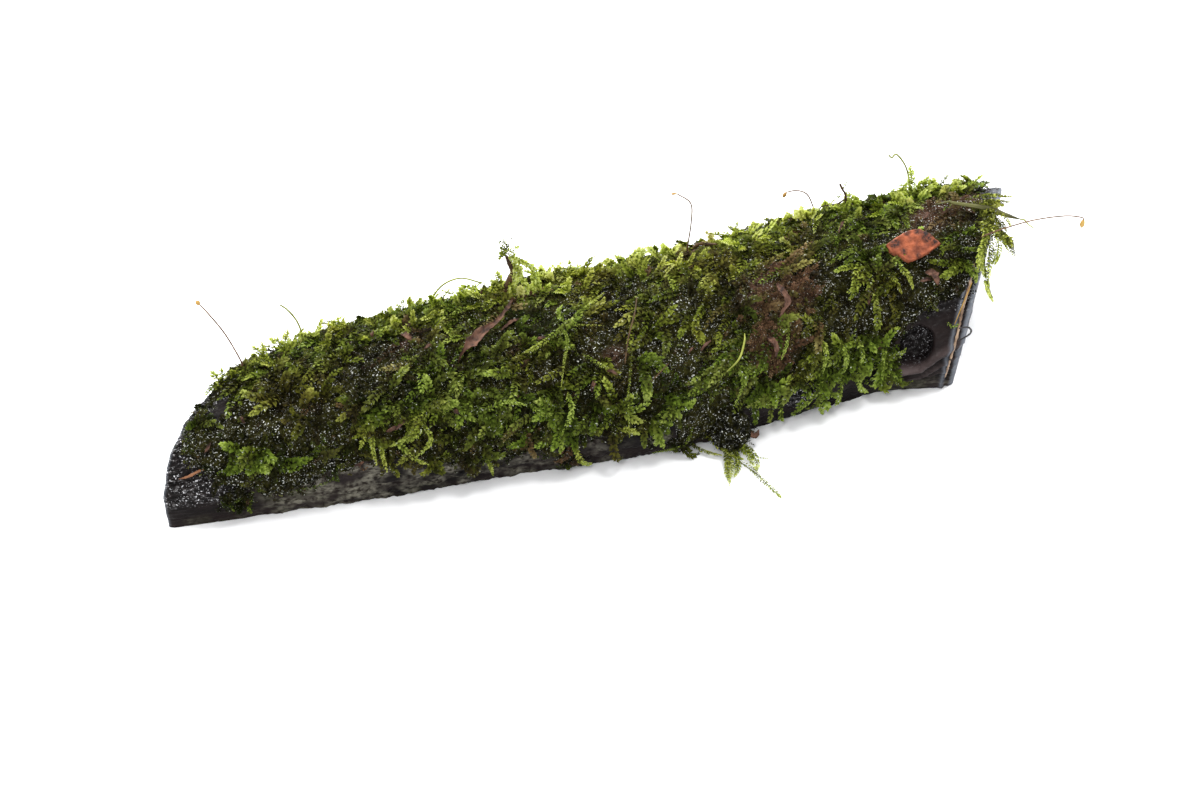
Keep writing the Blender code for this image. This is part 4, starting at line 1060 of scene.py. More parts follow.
def grow(foliage: Foliage, habit: Growth, along: np.ndarray, angle: np.ndarray, light: np.ndarray,
         brown: np.ndarray, rng: np.random.Generator, heading: np.ndarray = None) -> None:
    """Grows shoots from places on the log.

    A shoot's path starts in the bed, runs over the surface along its heading with a sideways curl,
    rises in an arch and droops to its tip. Its lightness decides how long it is.

    Args:
        foliage: what the shoots are added to.
        habit: the kind of shoot.
        along: place of each root along the log, in metres.
        angle: its angle round the log.
        light: lightness of each shoot.
        brown: brownness of each shoot.
        rng: random draws.
        heading: way of each shoot over the surface, 0 along +X and a quarter turn up; down both slopes of
            the log if it isn't given.
    """
    count = len(along)
    if heading is None:
        downhill = np.where(angle < math.pi / 2, -math.pi / 2, math.pi / 2)
        flat = smooth_step(0.9, 0.2, np.abs(angle - math.pi / 2))
        heading = downhill + rng.normal(0, 1, count) * habit.spread * (1 + flat)
    length = rng.uniform(*habit.length, count) * MM * (0.8 + 0.3 * light)
    top = smooth_step(1.1, 1.6, angle) * smooth_step(2.8, 2.3, angle)
    arch = rng.uniform(*habit.arch, count) * MM * (1 - 0.45 * top)
    reach = along + 0.8 * length * np.cos(heading)
    length = np.where((reach < -109 * MM) | (reach > 111 * MM), 0.35 * length, length)
    curl = rng.normal(0, 0.45, count)
    root = np.maximum(FIELD.bed_lift(along, angle), 0.1 * MM) - 0.3 * MM

    def path(share: np.ndarray) -> tuple:
        """Points and outward directions of every shoot at shares of its length."""
        turn = heading[:, None] + curl[:, None] * share
        run = length[:, None] * share
        over = run * math.sqrt(1 - habit.rise ** 2)
        s = along[:, None] + over * np.cos(turn)
        a = angle[:, None] + over * np.sin(turn) / FORM.radius
        lift = root[:, None] + arch[:, None] * (np.sin(2.2 * share) - habit.droop * 0.5 * share ** 2)
        lift = lift + habit.rise * run
        return FORM.off(s, a, lift), FORM.normal(s, a)

    leaf = rng.uniform(*habit.leaf, count) * MM * (0.85 + 0.2 * light)
    dress_paths(foliage, path, habit.rows, leaf, light, brown, rng, habit.stem, wet=habit.wet,
                broad=habit.broad, foot=habit.foot)


def curve_through(spots: np.ndarray, share: np.ndarray) -> np.ndarray:
    """Points on a smooth line through spots: a cubic between neighbours with shared slopes.

    Args:
        spots: points the line passes, in order.
        share: shares of its length, 0 to 1.

    Returns:
        The points.
    """
    last = len(spots) - 1
    place = np.clip(share, 0, 1) * last
    i = np.minimum(place.astype(int), last - 1)
    t = (place - i)[..., None]
    padded = np.concatenate([[2 * spots[0] - spots[1]], spots, [2 * spots[-1] - spots[-2]]])
    before, start, end, after = (padded[i + k] for k in range(4))
    over = np.clip(share, None, 1) - share
    bent = 0.5 * (2 * start + (end - before) * t + (2 * before - 5 * start + 4 * end - after) * t ** 2
                  + (3 * start - before - 3 * end + after) * t ** 3)
    return bent - over[..., None] * (spots[-1] - spots[-2]) * last


def dress_curve(foliage: Foliage, spots: np.ndarray, facing: tuple, leaf: float, light: float,
                brown: float, rng: np.random.Generator, turns: tuple = (-1.45, 1.45, 0.5, -0.5),
                open_angle: float = 1.0, stem: float = 0.09, pitch: float = 0.75, wet: float = 0.12,
                broad: float = 0.52, foot: float = 0.7) -> None:
    """Sets leaves along one shoot whose path is a curve through spots.

    Args:
        foliage: what the shoot is added to.
        spots: points of the path, in metres.
        facing: the way its broad face looks.
        leaf: leaf length in metres.
        light: its lightness.
        brown: its brownness.
        rng: random draws.
        turns: turns of the leaf rows round the stem.
        open_angle: how far leaves lean off the stem.
        stem: stem radius as a share of the leaf length.
        pitch: distance between the leaves of a row, in millimetres.
        wet: share of the leaves that are wet, with a glossy coat and painted glints.
        broad: width of a leaf as a share of its length.
        foot: lightness of the lowest leaves as a share of the shoot's; the darker foot is partly painted
            shade.
    """
    out = unit(np.array(facing, float))
    long = np.linalg.norm(np.diff(spots, axis=0), axis=1).sum() / MM
    leaves = max(3, int(long / pitch))
    rows = tuple((turn, leaves) for turn in turns)

    def path(share: np.ndarray) -> tuple:
        """Points of the curve, and one outward direction for all."""
        spot = curve_through(spots, share)
        return spot, np.broadcast_to(out, spot.shape)

    dress_paths(foliage, path, rows, np.array([leaf]), np.array([light]), np.array([brown]), rng,
                stem=stem, open_angle=open_angle, wet=wet, broad=broad, foot=foot, patchy=0.13)


def tube(name: str, spots: np.ndarray, radii: tuple, finish: Finish, steps: int = 40, sides: int = 10,
         wobble: float = 0.0) -> bpy.types.Object:
    """A round tapering tube along a curve, closed by its pinched ends.

    Args:
        name: the piece's name.
        spots: points the middle line passes, in metres.
        radii: radii at even shares of the length, in millimetres.
        finish: its finish.
        steps: rings along it.
        sides: corners of a ring.
        wobble: share by which the radius changes at random from ring to ring.

    Returns:
        The object.
    """
    share = np.linspace(0, 1, steps)
    middle = curve_through(spots, share)
    ahead = unit(np.gradient(middle, axis=0))
    side = unit(np.cross(ahead, [0.3, 0.2, 1.0]))
    up = np.cross(side, ahead)
    radius = np.interp(share, np.linspace(0, 1, len(radii)), radii) * MM
    radius = radius * (1 + wobble * np.random.default_rng(5).uniform(-1, 1, steps))
    radius[[0, -1]] *= 0.15
    turn = np.linspace(0, 2 * math.pi, sides, endpoint=False)
    ring = np.cos(turn)[None, :, None] * side[:, None] + np.sin(turn)[None, :, None] * up[:, None]
    points = middle[:, None] + ring * radius[:, None, None]
    ends = [np.arange(sides)[::-1][None], (np.arange(sides) + (steps - 1) * sides)[None]]
    return mesh_piece(name, points.reshape(-1, 3), [grid_faces(steps, sides, closed=True), *ends],
                      finish.material)


def ribbon_sides(spots: np.ndarray, width: float, facing: np.ndarray, curl: float, rows: int, columns: int,
                 seed: int, shape: tuple = (0.1, 0.8, 1.0, 0.8, 0.1)) -> tuple:
    """Both sides of a thin curled leaf.

    Its outline has a ragged edge, its sides curl up by the square of their distance from the
    midrib, and it is wrinkled by noise.

    Args:
        spots: points of its midrib, in metres.
        width: its width in millimetres.
        facing: the way its upper side looks.
        curl: rise of its sides as a share of its width.
        rows: rows of points along it.
        columns: points across it.
        seed: start of its random draws.
        shape: its width at even shares of its length, as shares of the full width.

    Returns:
        The grids of the upper and of the lower side.
    """
    share, across = np.meshgrid(np.linspace(0, 1, rows), np.linspace(-1, 1, columns), indexing="ij")
    noise = Noise(seed)
    middle = curve_through(spots, share)
    ahead = unit(np.gradient(middle[:, 0], axis=0))[:, None]
    side = unit(np.cross(ahead, unit(np.array(facing, float))))
    up = np.cross(side, ahead)
    wide = width / 2 * np.interp(share, np.linspace(0, 1, len(shape)), shape)
    wide = wide * (1 + 1.4 * (noise.layered(share * 11, across * 0.6 + 3, 3) - 0.5))
    high = curl * width * across ** 2 * (0.6 + 0.4 * np.sin(5 * share))
    high = high + 0.5 * (noise.layered(share * 12, across * 3, 3) - 0.5)
    place = middle + side * (across * wide)[..., None] * MM
    return place + up * (high + 0.13)[..., None] * MM, place + up * (high - 0.13)[..., None] * MM


def ribbon(name: str, spots: np.ndarray, width: float, facing: tuple, curl: float,
           finish: Finish, shape: tuple = (0.1, 0.8, 1.0, 0.8, 0.1)) -> bpy.types.Object:
    """A thin curled dead leaf along a curve, closed all round.

    Args:
        name: the piece's name.
        spots: points of its midrib, in metres.
        width: its width in millimetres.
        facing: the way its upper side looks.
        curl: rise of its sides as a share of its width.
        finish: its finish.
        shape: its width at even shares of its length, as shares of the full width.

    Returns:
        The object.
    """
    top, base = ribbon_sides(spots, width, facing, curl, 60, 15, len(name), shape)
    points, faces = two_sided(top, base)
    return mesh_piece(name, points, faces, finish.material)


# Sub-assemblies

@dataclass
class Driftwood:
    """The bare wood: the whole log in fine relief."""

    rows: int = 440
    columns: int = 200
    cap_rings: int = 9

    def tone(self, along: np.ndarray, angle: np.ndarray) -> np.ndarray:
        """How far places are grey bark, cut end and granular, each from 0 to 1.

        Bark shows along the front foot and the back foot, and the cut's grey inside the right rim's groove.
        The left foot's lowest strip gets the bark's grey as a painted reflection of the floor.
        """
        s = along / MM
        noise = FIELD.noise.layered(s / 3.6, angle * 10, 3)
        share = 0.45 * smooth_step(-18, -34, s) + 0.55 * smooth_step(22, 8, s)
        foot = smooth_step(0.42, 0.05, angle) * smooth_step(-88, -78, s) * share
        # Painted reflection: the lowest strip of the left foot is greyed like bark, for the floor's
        # reflection.
        left_foot_reflection = 0.28 * smooth_step(-0.12, -0.34, angle) * smooth_step(-80, -92, s)
        ledge = 0.45 * smooth_step(-0.02, -0.25, angle) * smooth_step(84, 92, s)
        back = 0.7 * smooth_step(math.pi - 0.5, math.pi - 0.1, angle)
        bark = np.clip((foot + left_foot_reflection + ledge + back) * (1.9 * (noise - 0.30)), 0, 1)
        oval = smooth_step(-0.8, 1.2, Patch(26.5, -0.01, 3.4).reach(along, angle))
        bark = np.maximum(bark, 0.8 * oval)
        end = 0.9 * smooth_step(109.8, 110.3, s) + 0.6 * smooth_step(-109.8, -110.8, s)
        end = end + 0.75 * np.exp(-(((s - 107.4) / 0.5) ** 2)) * smooth_step(1.3, 1.1, angle)
        corner = smooth_step(106.4, 107.6, s) * smooth_step(1.25, 1.45, angle) * smooth_step(2.6, 2.2, angle)
        end = np.clip(end + 0.45 * corner, 0, 1)
        return np.stack([bark, end, FORM.rough_share(along, angle), np.ones_like(end)], -1)

    def build(self) -> None:
        """Makes the log: rings from cut to cut, each closed across the flat underside."""
        form = FORM
        inner = form.half_length - form.wear_length
        worn = np.array([1.0, 0.82, 0.6, 0.36, 0.16]) * form.wear_length
        straight = np.linspace(-inner, inner, self.rows - 10)
        along = np.concatenate([-inner - worn[::-1], straight, inner + worn])
        along = np.sort(np.clip(along, -form.half_length, form.half_length))
        angle = np.linspace(form.foot, math.pi - form.foot, self.columns)
        s, a = np.meshgrid(along, angle, indexing="ij")
        rings = form.point(s, a) + form.normal(s, a) * form.grain(s, a)[..., None]
        near = np.minimum(a - form.foot, math.pi - form.foot - a)
        rings[..., 2] = np.maximum(rings[..., 2], 0) * np.clip(near / 0.10, 0, 1)
        tone = self.tone(s, a)
        # How far the sweep under the knot is raised, which sets its painted highlight.
        ridge = np.clip(form.sweep(s, a) / (1.1 * MM), 0, 1)
        blocks, tones = [rings], [tone]
        for end, at in ((0, -form.half_length), (-1, form.half_length)):
            shrinks = np.linspace(1, 0.04, self.cap_rings + 1)[1:]
            flat = form.point(np.full(self.columns, at), angle)
            caps = np.array([form.point(np.full(self.columns, at), angle, shrink=shrink)
                             + (rings[end] - flat) * shrink for shrink in shrinks])
            fibre = form.noise.layered(np.arange(self.columns)[None] / 5, shrinks[:, None] * 22, 3)
            caps[..., 0] += (fibre - 0.5) * 0.9 * MM
            caps[..., 2] = np.maximum(caps[..., 2], 0)
            bands = form.noise.layered(shrinks[:, None] * 30, np.arange(self.columns)[None] / 40 + 7, 3)
            grey = 0.35 + 0.5 * smooth_step(0.3, 0.75, bands)
            shade = np.stack([0 * bands, grey, 0 * bands, 1 + 0 * bands], -1)
            if end == 0:
                blocks.insert(0, caps[::-1])
                tones.insert(0, shade)
            else:
                blocks.append(caps)
                tones.append(shade)
        points = np.concatenate(blocks)
        faces = grid_faces(len(points), self.columns, closed=True)[:, ::-1]
        total = len(points) * self.columns
        caps = [np.arange(self.columns)[None], np.arange(total - self.columns, total)[::-1][None]]
        colours = np.concatenate(tones).reshape(-1, 4)
        # Second attribute: the ridge's painted highlight.
        light = np.zeros_like(colours)
        light[:, 3] = 1
        light[self.cap_rings * self.columns:-self.cap_rings * self.columns, :3] = ridge.reshape(-1, 1)
        wood = mesh_piece("driftwood_bark", points.reshape(-1, 3), [faces, *caps], Finish.WOOD.material,
                          attributes={"wood_tone": colours, "painted_ridge_highlight": light})
        smooth = np.ones(len(wood.data.polygons), bool)
        smooth[:len(faces)] = colours[faces[:, 0], 2] < 0.3
        wood.data.polygons.foreach_set("use_smooth", smooth)
        finish_piece(wood, "driftwood_dark", "driftwood")


@dataclass
class MossBed:
    """The dark bed that the shoots grow from: a closed skin that dips into the wood at its border."""

    rows: int = 264
    columns: int = 112
    depth: float = 1.9 * MM

    def build(self) -> None:
        """Makes the skin."""
        limit = FORM.half_length - 0.6 * MM
        s, a = np.meshgrid(np.linspace(-limit, limit, self.rows),
                           np.linspace(-0.30, math.pi + 0.02, self.columns), indexing="ij")
        outer = FORM.off(s, a, FIELD.bed_lift(s, a))
        outer[..., 2] = np.maximum(outer[..., 2], 0.6 * MM)
        inner = FORM.off(s, a, FORM.pit(s, a) - self.depth)
        inner[..., 2] = np.maximum(inner[..., 2], 0.5 * MM)
        light = np.clip(FIELD.inside(s, a) / 8, 0, 1)
        brown = FIELD.gather(s, a, FIELD.brown)
        # Wetness sets the bed's coat and its painted glints, most in the murky places.
        wet = 0.35 + 0.65 * FIELD.gather(s, a, FIELD.murk)
        tint = np.stack([light, brown, wet, np.ones_like(light)], -1).reshape(-1, 4)
        points, faces = two_sided(outer, inner)
        bed = mesh_piece("moss_bed", points, faces, Finish.BED.material, smooth=False,
                         attributes={"growth": np.concatenate([tint, tint])})
        finish_piece(bed, "moss_green", "moss_mat")


@dataclass
class MossShoots:
    """The thousands of leafy shoots, in pieces from left to right."""

    tiny_count: int = 8200
    short_count: int = 2600
    tall_count: int = 600
    crest_count: int = 300
    per_area: float = 0.125
    seed: int = 41
    cuts: tuple = (-112, -66, -30, 6, 42, 76, 112)
    names: tuple = ("left", "left_inner", "middle_left", "middle_right", "right_inner", "right")

    def scatter(self, count: int, rng: np.random.Generator, depth: float) -> tuple:
        """Random places at least depth millimetres inside the border."""
        along = rng.uniform(-110.0, 110.0, count * 2) * MM
        angle = rng.uniform(-0.2, math.pi - 0.05, count * 2)
        kept = np.flatnonzero(FIELD.inside(along, angle) > depth)[:count]
        return along[kept], angle[kept]

    def clumps(self, rng: np.random.Generator) -> tuple:
        """Roots of the light clumps: places round each clump's middle, and how light each is."""
        along, angle, light = [], [], []
        for middle, at, radius in FIELD.light:
            count = int(4 + math.pi * radius ** 2 * self.per_area)
            away = radius * np.sqrt(rng.uniform(0, 1, count))
            turn = rng.uniform(0, 2 * math.pi, count)
            along.append((middle + away * np.cos(turn)) * MM)
            angle.append(at + away * np.sin(turn) * MM / FORM.radius)
            light.append(rng.uniform(0.44, 0.92, count) - 0.02 * away)
        return np.concatenate(along), np.concatenate(angle), np.concatenate(light)

    def shade(self, along: np.ndarray, angle: np.ndarray, base: float, dim: float,
              rng: np.random.Generator) -> tuple:
        """Lightness and brownness of shoots from where they grow, and how murky it is there. Shoots on the
        top are made lighter as painted light.
        """
        murk, brown = FIELD.gather(along, angle, FIELD.murk), FIELD.gather(along, angle, FIELD.brown)
        patchy = FIELD.noise.layered(along / MM / 7, angle * 4, 2)
        # Painted light: shoots on the crest are lightened, for the light from behind that shines through
        # them.
        crest = smooth_step(1.2, 2.0, angle)
        light = base + 0.8 * (patchy - 0.47) + 0.22 * crest - dim * murk + rng.normal(0, 0.11, len(along))
        old = brown * rng.uniform(0.3, 1.1, len(along)) + (rng.random(len(along)) < 0.04) * 0.6
        old = np.clip(old + rng.uniform(-0.10, 0.28, len(along)) + 0.08 * murk, 0, 1)
        return np.clip(light, 0.03, 0.97), old, murk

    def build(self) -> None:
        """Makes the pieces."""
        rng = np.random.default_rng(self.seed)
        places = {
            Habit.TINY: (*self.scatter(self.tiny_count, rng, -0.6), 0.21),
            Habit.SHORT: (*self.scatter(self.short_count, rng, 1.4), 0.29),
            Habit.TALL: (*self.scatter(self.tall_count, rng, 3.0), 0.47),
        }
        clump_s, clump_a, clump_light = self.clumps(rng)
        edges = np.array(self.cuts) * MM
        total = 0
        for name, low, high in zip(self.names, edges, edges[1:]):
            foliage = Foliage()
            for habit, (s, a, base) in places.items():
                here = (s >= low) & (s < high)
                s, a = s[here], a[here]
                light, brown, murk = self.shade(s, a, base, habit.value.dim, rng)
                keep = rng.random(len(s)) > habit.value.shun_murk * murk
                grow(foliage, habit.value, s[keep], a[keep], light[keep], brown[keep], rng)
            here = (clump_s >= low) & (clump_s < high)
            grow(foliage, Habit.TALL.value, clump_s[here], clump_a[here], clump_light[here],
                 rng.uniform(-0.1, 0.2, int(here.sum())).clip(0), rng)
            piece = foliage.build(f"moss_shoots_{name}")
            total += len(piece.data.polygons)
            finish_piece(piece, "moss_green", "moss_mat")
        log.info("moss shoots in all: %d faces", total + self.crest(rng))

    def crest(self, rng: np.random.Generator) -> int:
        """Makes the light shoots along the top that the light shines through.

        Returns:
            The number of their faces.
        """
        s = rng.uniform(-108, 106, self.crest_count) * MM
        a = rng.uniform(1.7, 2.5, self.crest_count)
        kept = FIELD.inside(s, a) > 1
        s, a = s[kept], a[kept]
        light, brown, murk = self.shade(s, a, 0.47, Habit.CREST.value.dim, rng)
        keep = rng.random(len(s)) > Habit.CREST.value.shun_murk * murk
        foliage = Foliage()
        grow(foliage, Habit.CREST.value, s[keep], a[keep], light[keep], brown[keep] * 0.5, rng)
        piece = foliage.build("moss_crest", Finish.BRIGHT_LEAF)
        finish_piece(piece, "moss_green", "moss_mat")
        return len(piece.data.polygons)


@dataclass(frozen=True)
class Sprig:
    """A shoot or a bare stem, drawn in the upright plane that faces the front left.

    Its spots are across, up and forward from its root, in millimetres.
    """

    spots: tuple
    leaf: float = 1.1
    light: float = 0.9
    brown: float = 0.0
    pitch: float = 0.75
    stem: float = 0.09

    def line(self, root: np.ndarray) -> np.ndarray:
        """The spots in metres, for a root in metres."""
        table = np.array([(*spot, 0.0)[:3] for spot in self.spots]) * MM
        return root + table @ np.array([(0.951, -0.309, 0), (0, 0, 1), (-0.309, -0.951, 0)])


@dataclass
class StandingPlants:
    """Plants that stand up from the mat's top: for each, its node, its root on the log and its sprigs."""

    plants: tuple = (
        ("shoot_left_end", (-107.5, 1.70, 2.0), (
            Sprig(((0, -1), (-0.9, 1.8), (-2.2, 3.6)), 1.25, 0.92),
            Sprig(((0, -1), (0.6, 2.0), (0.4, 4.6)), 1.1, 0.8),
            Sprig(((0.6, -1), (-0.4, 0.6, 1.5), (-1.4, -1.4, 2.4)), 1.2, 0.7))),
        ("shoot_left_pale", (-98, 1.85, 2.0), (
            Sprig(((0, -1), (-1.5, 2.2), (-3.4, 4.2)), 1.1, 0.9),
            Sprig(((0.5, -1), (-0.6, 1.8), (-0.8, 5.4)), 1.2, 0.95),
            Sprig(((1.5, 0), (-2.8, 0.4, 0.6), (-5.5, -0.7, 1.0)), 0.6, 0.85, pitch=0.7))),
        ("shoot_left_bright", (-95, 1.95, 2.0), (
            Sprig(((0, -1), (0.4, 2.6), (1.4, 6.6)), 1.35, 0.95),
            Sprig(((0, -1), (-1.2, 2.6), (-3.3, 3.9)), 1.2, 0.95),
            Sprig(((0, -1), (1.6, 1.8, 0.6), (3.2, 3.8, 0.8)), 1.2, 0.85),
            Sprig(((0, 0), (0.6, -0.8, 2.6), (0.2, -4.0, 4.0)), 1.3, 0.82))),
        ("shoot_left_small", (-81.5, 2.0, 2.0), (
            Sprig(((0, -1), (0.9, 2.4), (1.7, 5.2)), 0.95, 0.98),
            Sprig(((-2.6, -1), (-1.8, 1.8), (-2.6, 3.4)), 1.0, 0.9))),
        ("shoot_centre_small", (-66, 2.15, 2.0), (
            Sprig(((0, -1), (-0.5, 2.4), (-0.2, 5.2)), 0.95, 0.8),
            Sprig(((0.4, 0), (-1.2, 1.8), (-2.0, 3.4)), 1.0, 0.85))),
        ("shoot_tall_tuft", (-35.0, 1.93, 2.6), (
            Sprig(((0.9, 11.8), (1.1, 14.0), (1.2, 15.8), (0.7, 17.4)), 0.95, 0.66),
            Sprig(((0.7, 17.0), (0.3, 18.4), (0.2, 19.2)), 0.6, 0.7),
            Sprig(((0.8, 16.8), (-0.2, 17.5), (-0.9, 17.6)), 0.6, 0.6),
            Sprig(((0.8, 16.2), (0.0, 16.0), (-0.4, 15.7)), 0.7, 0.6),
            Sprig(((1.3, 15.8), (2.0, 17.6), (2.7, 19.4)), 0.5, 0.5, 0.3),
            Sprig(((1.0, 15.5), (0.3, 14.5), (-0.6, 12.5)), 0.9, 0.9),
            Sprig(((2.2, 11.3), (2.8, 13.1), (3.2, 15.5), (4.3, 16.0)), 0.8, 1.0),
            Sprig(((1.7, 10.9), (3.1, 12.6), (4.2, 9.7), (4.8, 7.6), (5.3, 3.8)), 0.95, 1.0, pitch=0.62),
            Sprig(((4.3, 9.2), (3.7, 6.4, 0.5), (3.1, 3.0, 0.8)), 0.9, 0.98, pitch=0.6),
            Sprig(((3.1, 12.6), (5.5, 10.3, -0.6), (7.8, 8.4, -1.0), (9.0, 5.4, -1.0), (10.2, 1.0, -0.6)),
                  1.0, 0.98, pitch=0.6),
            Sprig(((10.2, -1.0), (9.4, 2.0), (8.9, 5.0)), 1.2, 0.85),
            Sprig(((11.2, -1.0), (11.6, 1.6), (12.4, 3.2)), 1.1, 0.9),
            Sprig(((0.2, -1.0), (-0.9, 3.8), (-1.6, 7.2)), 1.4, 0.88),
            Sprig(((0.0, -1.0), (-1.4, 2.4, 0.5), (-3.2, 4.6)), 1.2, 0.85),
            Sprig(((1.7, 5.2, 0.8), (2.2, 1.2, 1.4), (1.4, -3.0, 2.6)), 1.2, 0.85),
            Sprig(((1.6, 13.6), (2.6, 12.4, 0.3), (2.9, 10.0, 0.4)), 0.8, 0.98),
            Sprig(((3.2, 11.4), (2.9, 8.4, 0.4), (2.6, 5.0, 0.6)), 0.9, 1.0),
            Sprig(((1.2, 14.6), (2.1, 14.9), (3.0, 14.2)), 0.7, 0.9),
            Sprig(((5.0, 6.0), (6.0, 3.8, 0.4), (6.6, 0.6, 0.6)), 1.0, 1.0),
            Sprig(((0.6, 14.6), (-0.2, 13.8), (-0.9, 12.0)), 0.9, 0.62),
            Sprig(((8.0, 7.8), (8.6, 4.6, 0.4), (8.2, 1.0, 0.6)), 1.0, 0.95),
            Sprig(((-3.4, -1.0), (-3.0, 1.8), (-1.8, 4.4)), 1.2, 0.9),
            Sprig(((-4.2, -1.0), (-5.0, 1.2), (-5.2, 3.4)), 1.0, 0.75))),
        ("shoot_middle_small", (-18.0, 2.1, 2.4), (
            Sprig(((0, -1), (-0.1, 2.6), (-0.4, 6.0)), 0.95, 1.0),
            Sprig(((-1.6, -1), (-1.4, 1.2), (-0.4, 3.0)), 1.1, 0.95),
            Sprig(((0.8, 0), (1.8, 1.4), (2.6, 3.2)), 0.9, 0.95))),
        ("shoot_right_small", (29.0, 2.15, 2.2), (
            Sprig(((0, -1), (0.4, 2.6), (0.7, 5.6)), 1.0, 0.92),
            Sprig(((0, 0), (-1.2, 1.4), (-2.6, 2.2)), 1.1, 0.9))),
        ("shoot_right_spiky", (62.0, 2.2, 2.2), (
            Sprig(((-1.6, 6.4), (-0.9, 8.0), (-0.3, 9.4)), 0.6, 0.75, 0.1),
            Sprig(((-1.5, 5.2), (-2.6, 4.2), (-3.8, 3.0)), 0.55, 0.95, pitch=0.7),
            Sprig(((0.2, -0.5), (1.4, 2.8), (0.3, 5.4)), 1.25, 0.95),
            Sprig(((0.6, -0.5), (2.2, 1.4), (3.4, 2.2)), 1.2, 0.85),
            Sprig(((-0.6, 1.6), (-2.0, 0.9), (-3.2, -0.2)), 0.9, 0.95))),
        ("shoot_end_pale", (83.0, 2.15, 2.6), (
            Sprig(((0, -0.5), (-0.6, 4.2), (-1.3, 9.2)), 1.3, 1.0, pitch=0.75),
            Sprig(((-0.2, 0.5), (-1.8, 2.6), (-3.8, 2.8)), 0.6, 0.95),
            Sprig(((-4.0, -0.5), (-5.0, 1.6), (-3.9, 3.0), (-2.6, 2.9)), 0.5, 0.9, pitch=0.8))),
        ("shoot_end_green", (84.5, 2.1, 2.4), (
            Sprig(((0.2, -0.5), (1.4, 2.6), (2.6, 5.6)), 1.4, 0.86),
            Sprig(((0.4, -0.5), (2.6, 1.6), (4.8, 2.4)), 1.3, 0.82),
            Sprig(((-0.2, -0.5), (0.2, 2.2), (0.9, 4.0)), 1.3, 0.9))),
        ("arching_stem", (-40.0, 2.14, 2.4), (Sprig(((-0.4, 0), (0.8, 1.6), (1.8, 3.4)), 1.2, 0.85),)),
    )
    seed: int = 7

    def build(self) -> None:
        """Makes one joined piece of all leafy sprigs, and the brown stem of the tall tuft."""
        rng = np.random.default_rng(self.seed)
        foliage = Foliage()
        for _, (along, angle, lift), sprigs in self.plants:
            root = FORM.off(along * MM, angle, lift * MM)
            for sprig in sprigs:
                line = sprig.line(root)
                facing = (-0.25 + rng.normal(0, 0.2), -1, 0.35)
                dress_curve(foliage, line, facing, sprig.leaf * 1.3 * MM, sprig.light - 0.16, sprig.brown,
                            rng, turns=(-1.5, 1.5, 0.0, 3.1), open_angle=1.15, stem=sprig.stem,
                            pitch=sprig.pitch * 0.95, broad=0.58, foot=0.85)
        nodes = [node for node, _, _ in self.plants if node.startswith("shoot")]
        finish_piece(foliage.build("standing_shoots", Finish.BRIGHT_LEAF), "shoot_green", *nodes)
        self.stem("tall_tuft_stem", (-35.0, 1.93, 2.6),
                  ((0.0, -2.5), (0.8, 2.5), (1.8, 4.8), (2.6, 7.8), (2.2, 9.7),
                                                       (1.5, 11.2), (1.0, 13.0)),
                  (1.0, 0.8, 0.9, 0.7, 0.75, 0.5, 0.4), "shoot_tall_tuft")
        self.stem("tuft_brown_curl", (-44.5, 2.1, 2.2),
                  ((0.0, -1.0), (1.0, 2.3), (1.4, 3.8), (2.2, 2.4), (1.8, -0.8)),
                  (0.5, 0.35, 0.25, 0.4, 0.6), "shoot_tall_tuft")
        self.stem("spiky_stem", (62.0, 2.2, 2.2), ((0.0, -1.5), (-0.6, 4.6), (-1.6, 6.8), (-2.4, 8.6)),
                  (0.35, 0.3, 0.3, 0.32), "shoot_right_spiky")
        self.stem("spiky_branch", (62.0, 2.2, 2.2), ((-0.6, 3.6), (-3.1, 1.6), (-7.0, 0.9), (-8.0, -1.0)),
                  (0.28, 0.2, 0.16, 0.14), "shoot_right_spiky")

    def stem(self, name: str, root: tuple, spots: tuple, radii: tuple, node: str) -> None:
        """A brown twisted stem in the upright plane."""
        along, angle, lift = root
        line = Sprig(spots).line(FORM.off(along * MM, angle, lift * MM))
        finish_piece(tube(name, line, radii, Finish.TWIG, 70, 12, 0.3), "shoot_green", node)


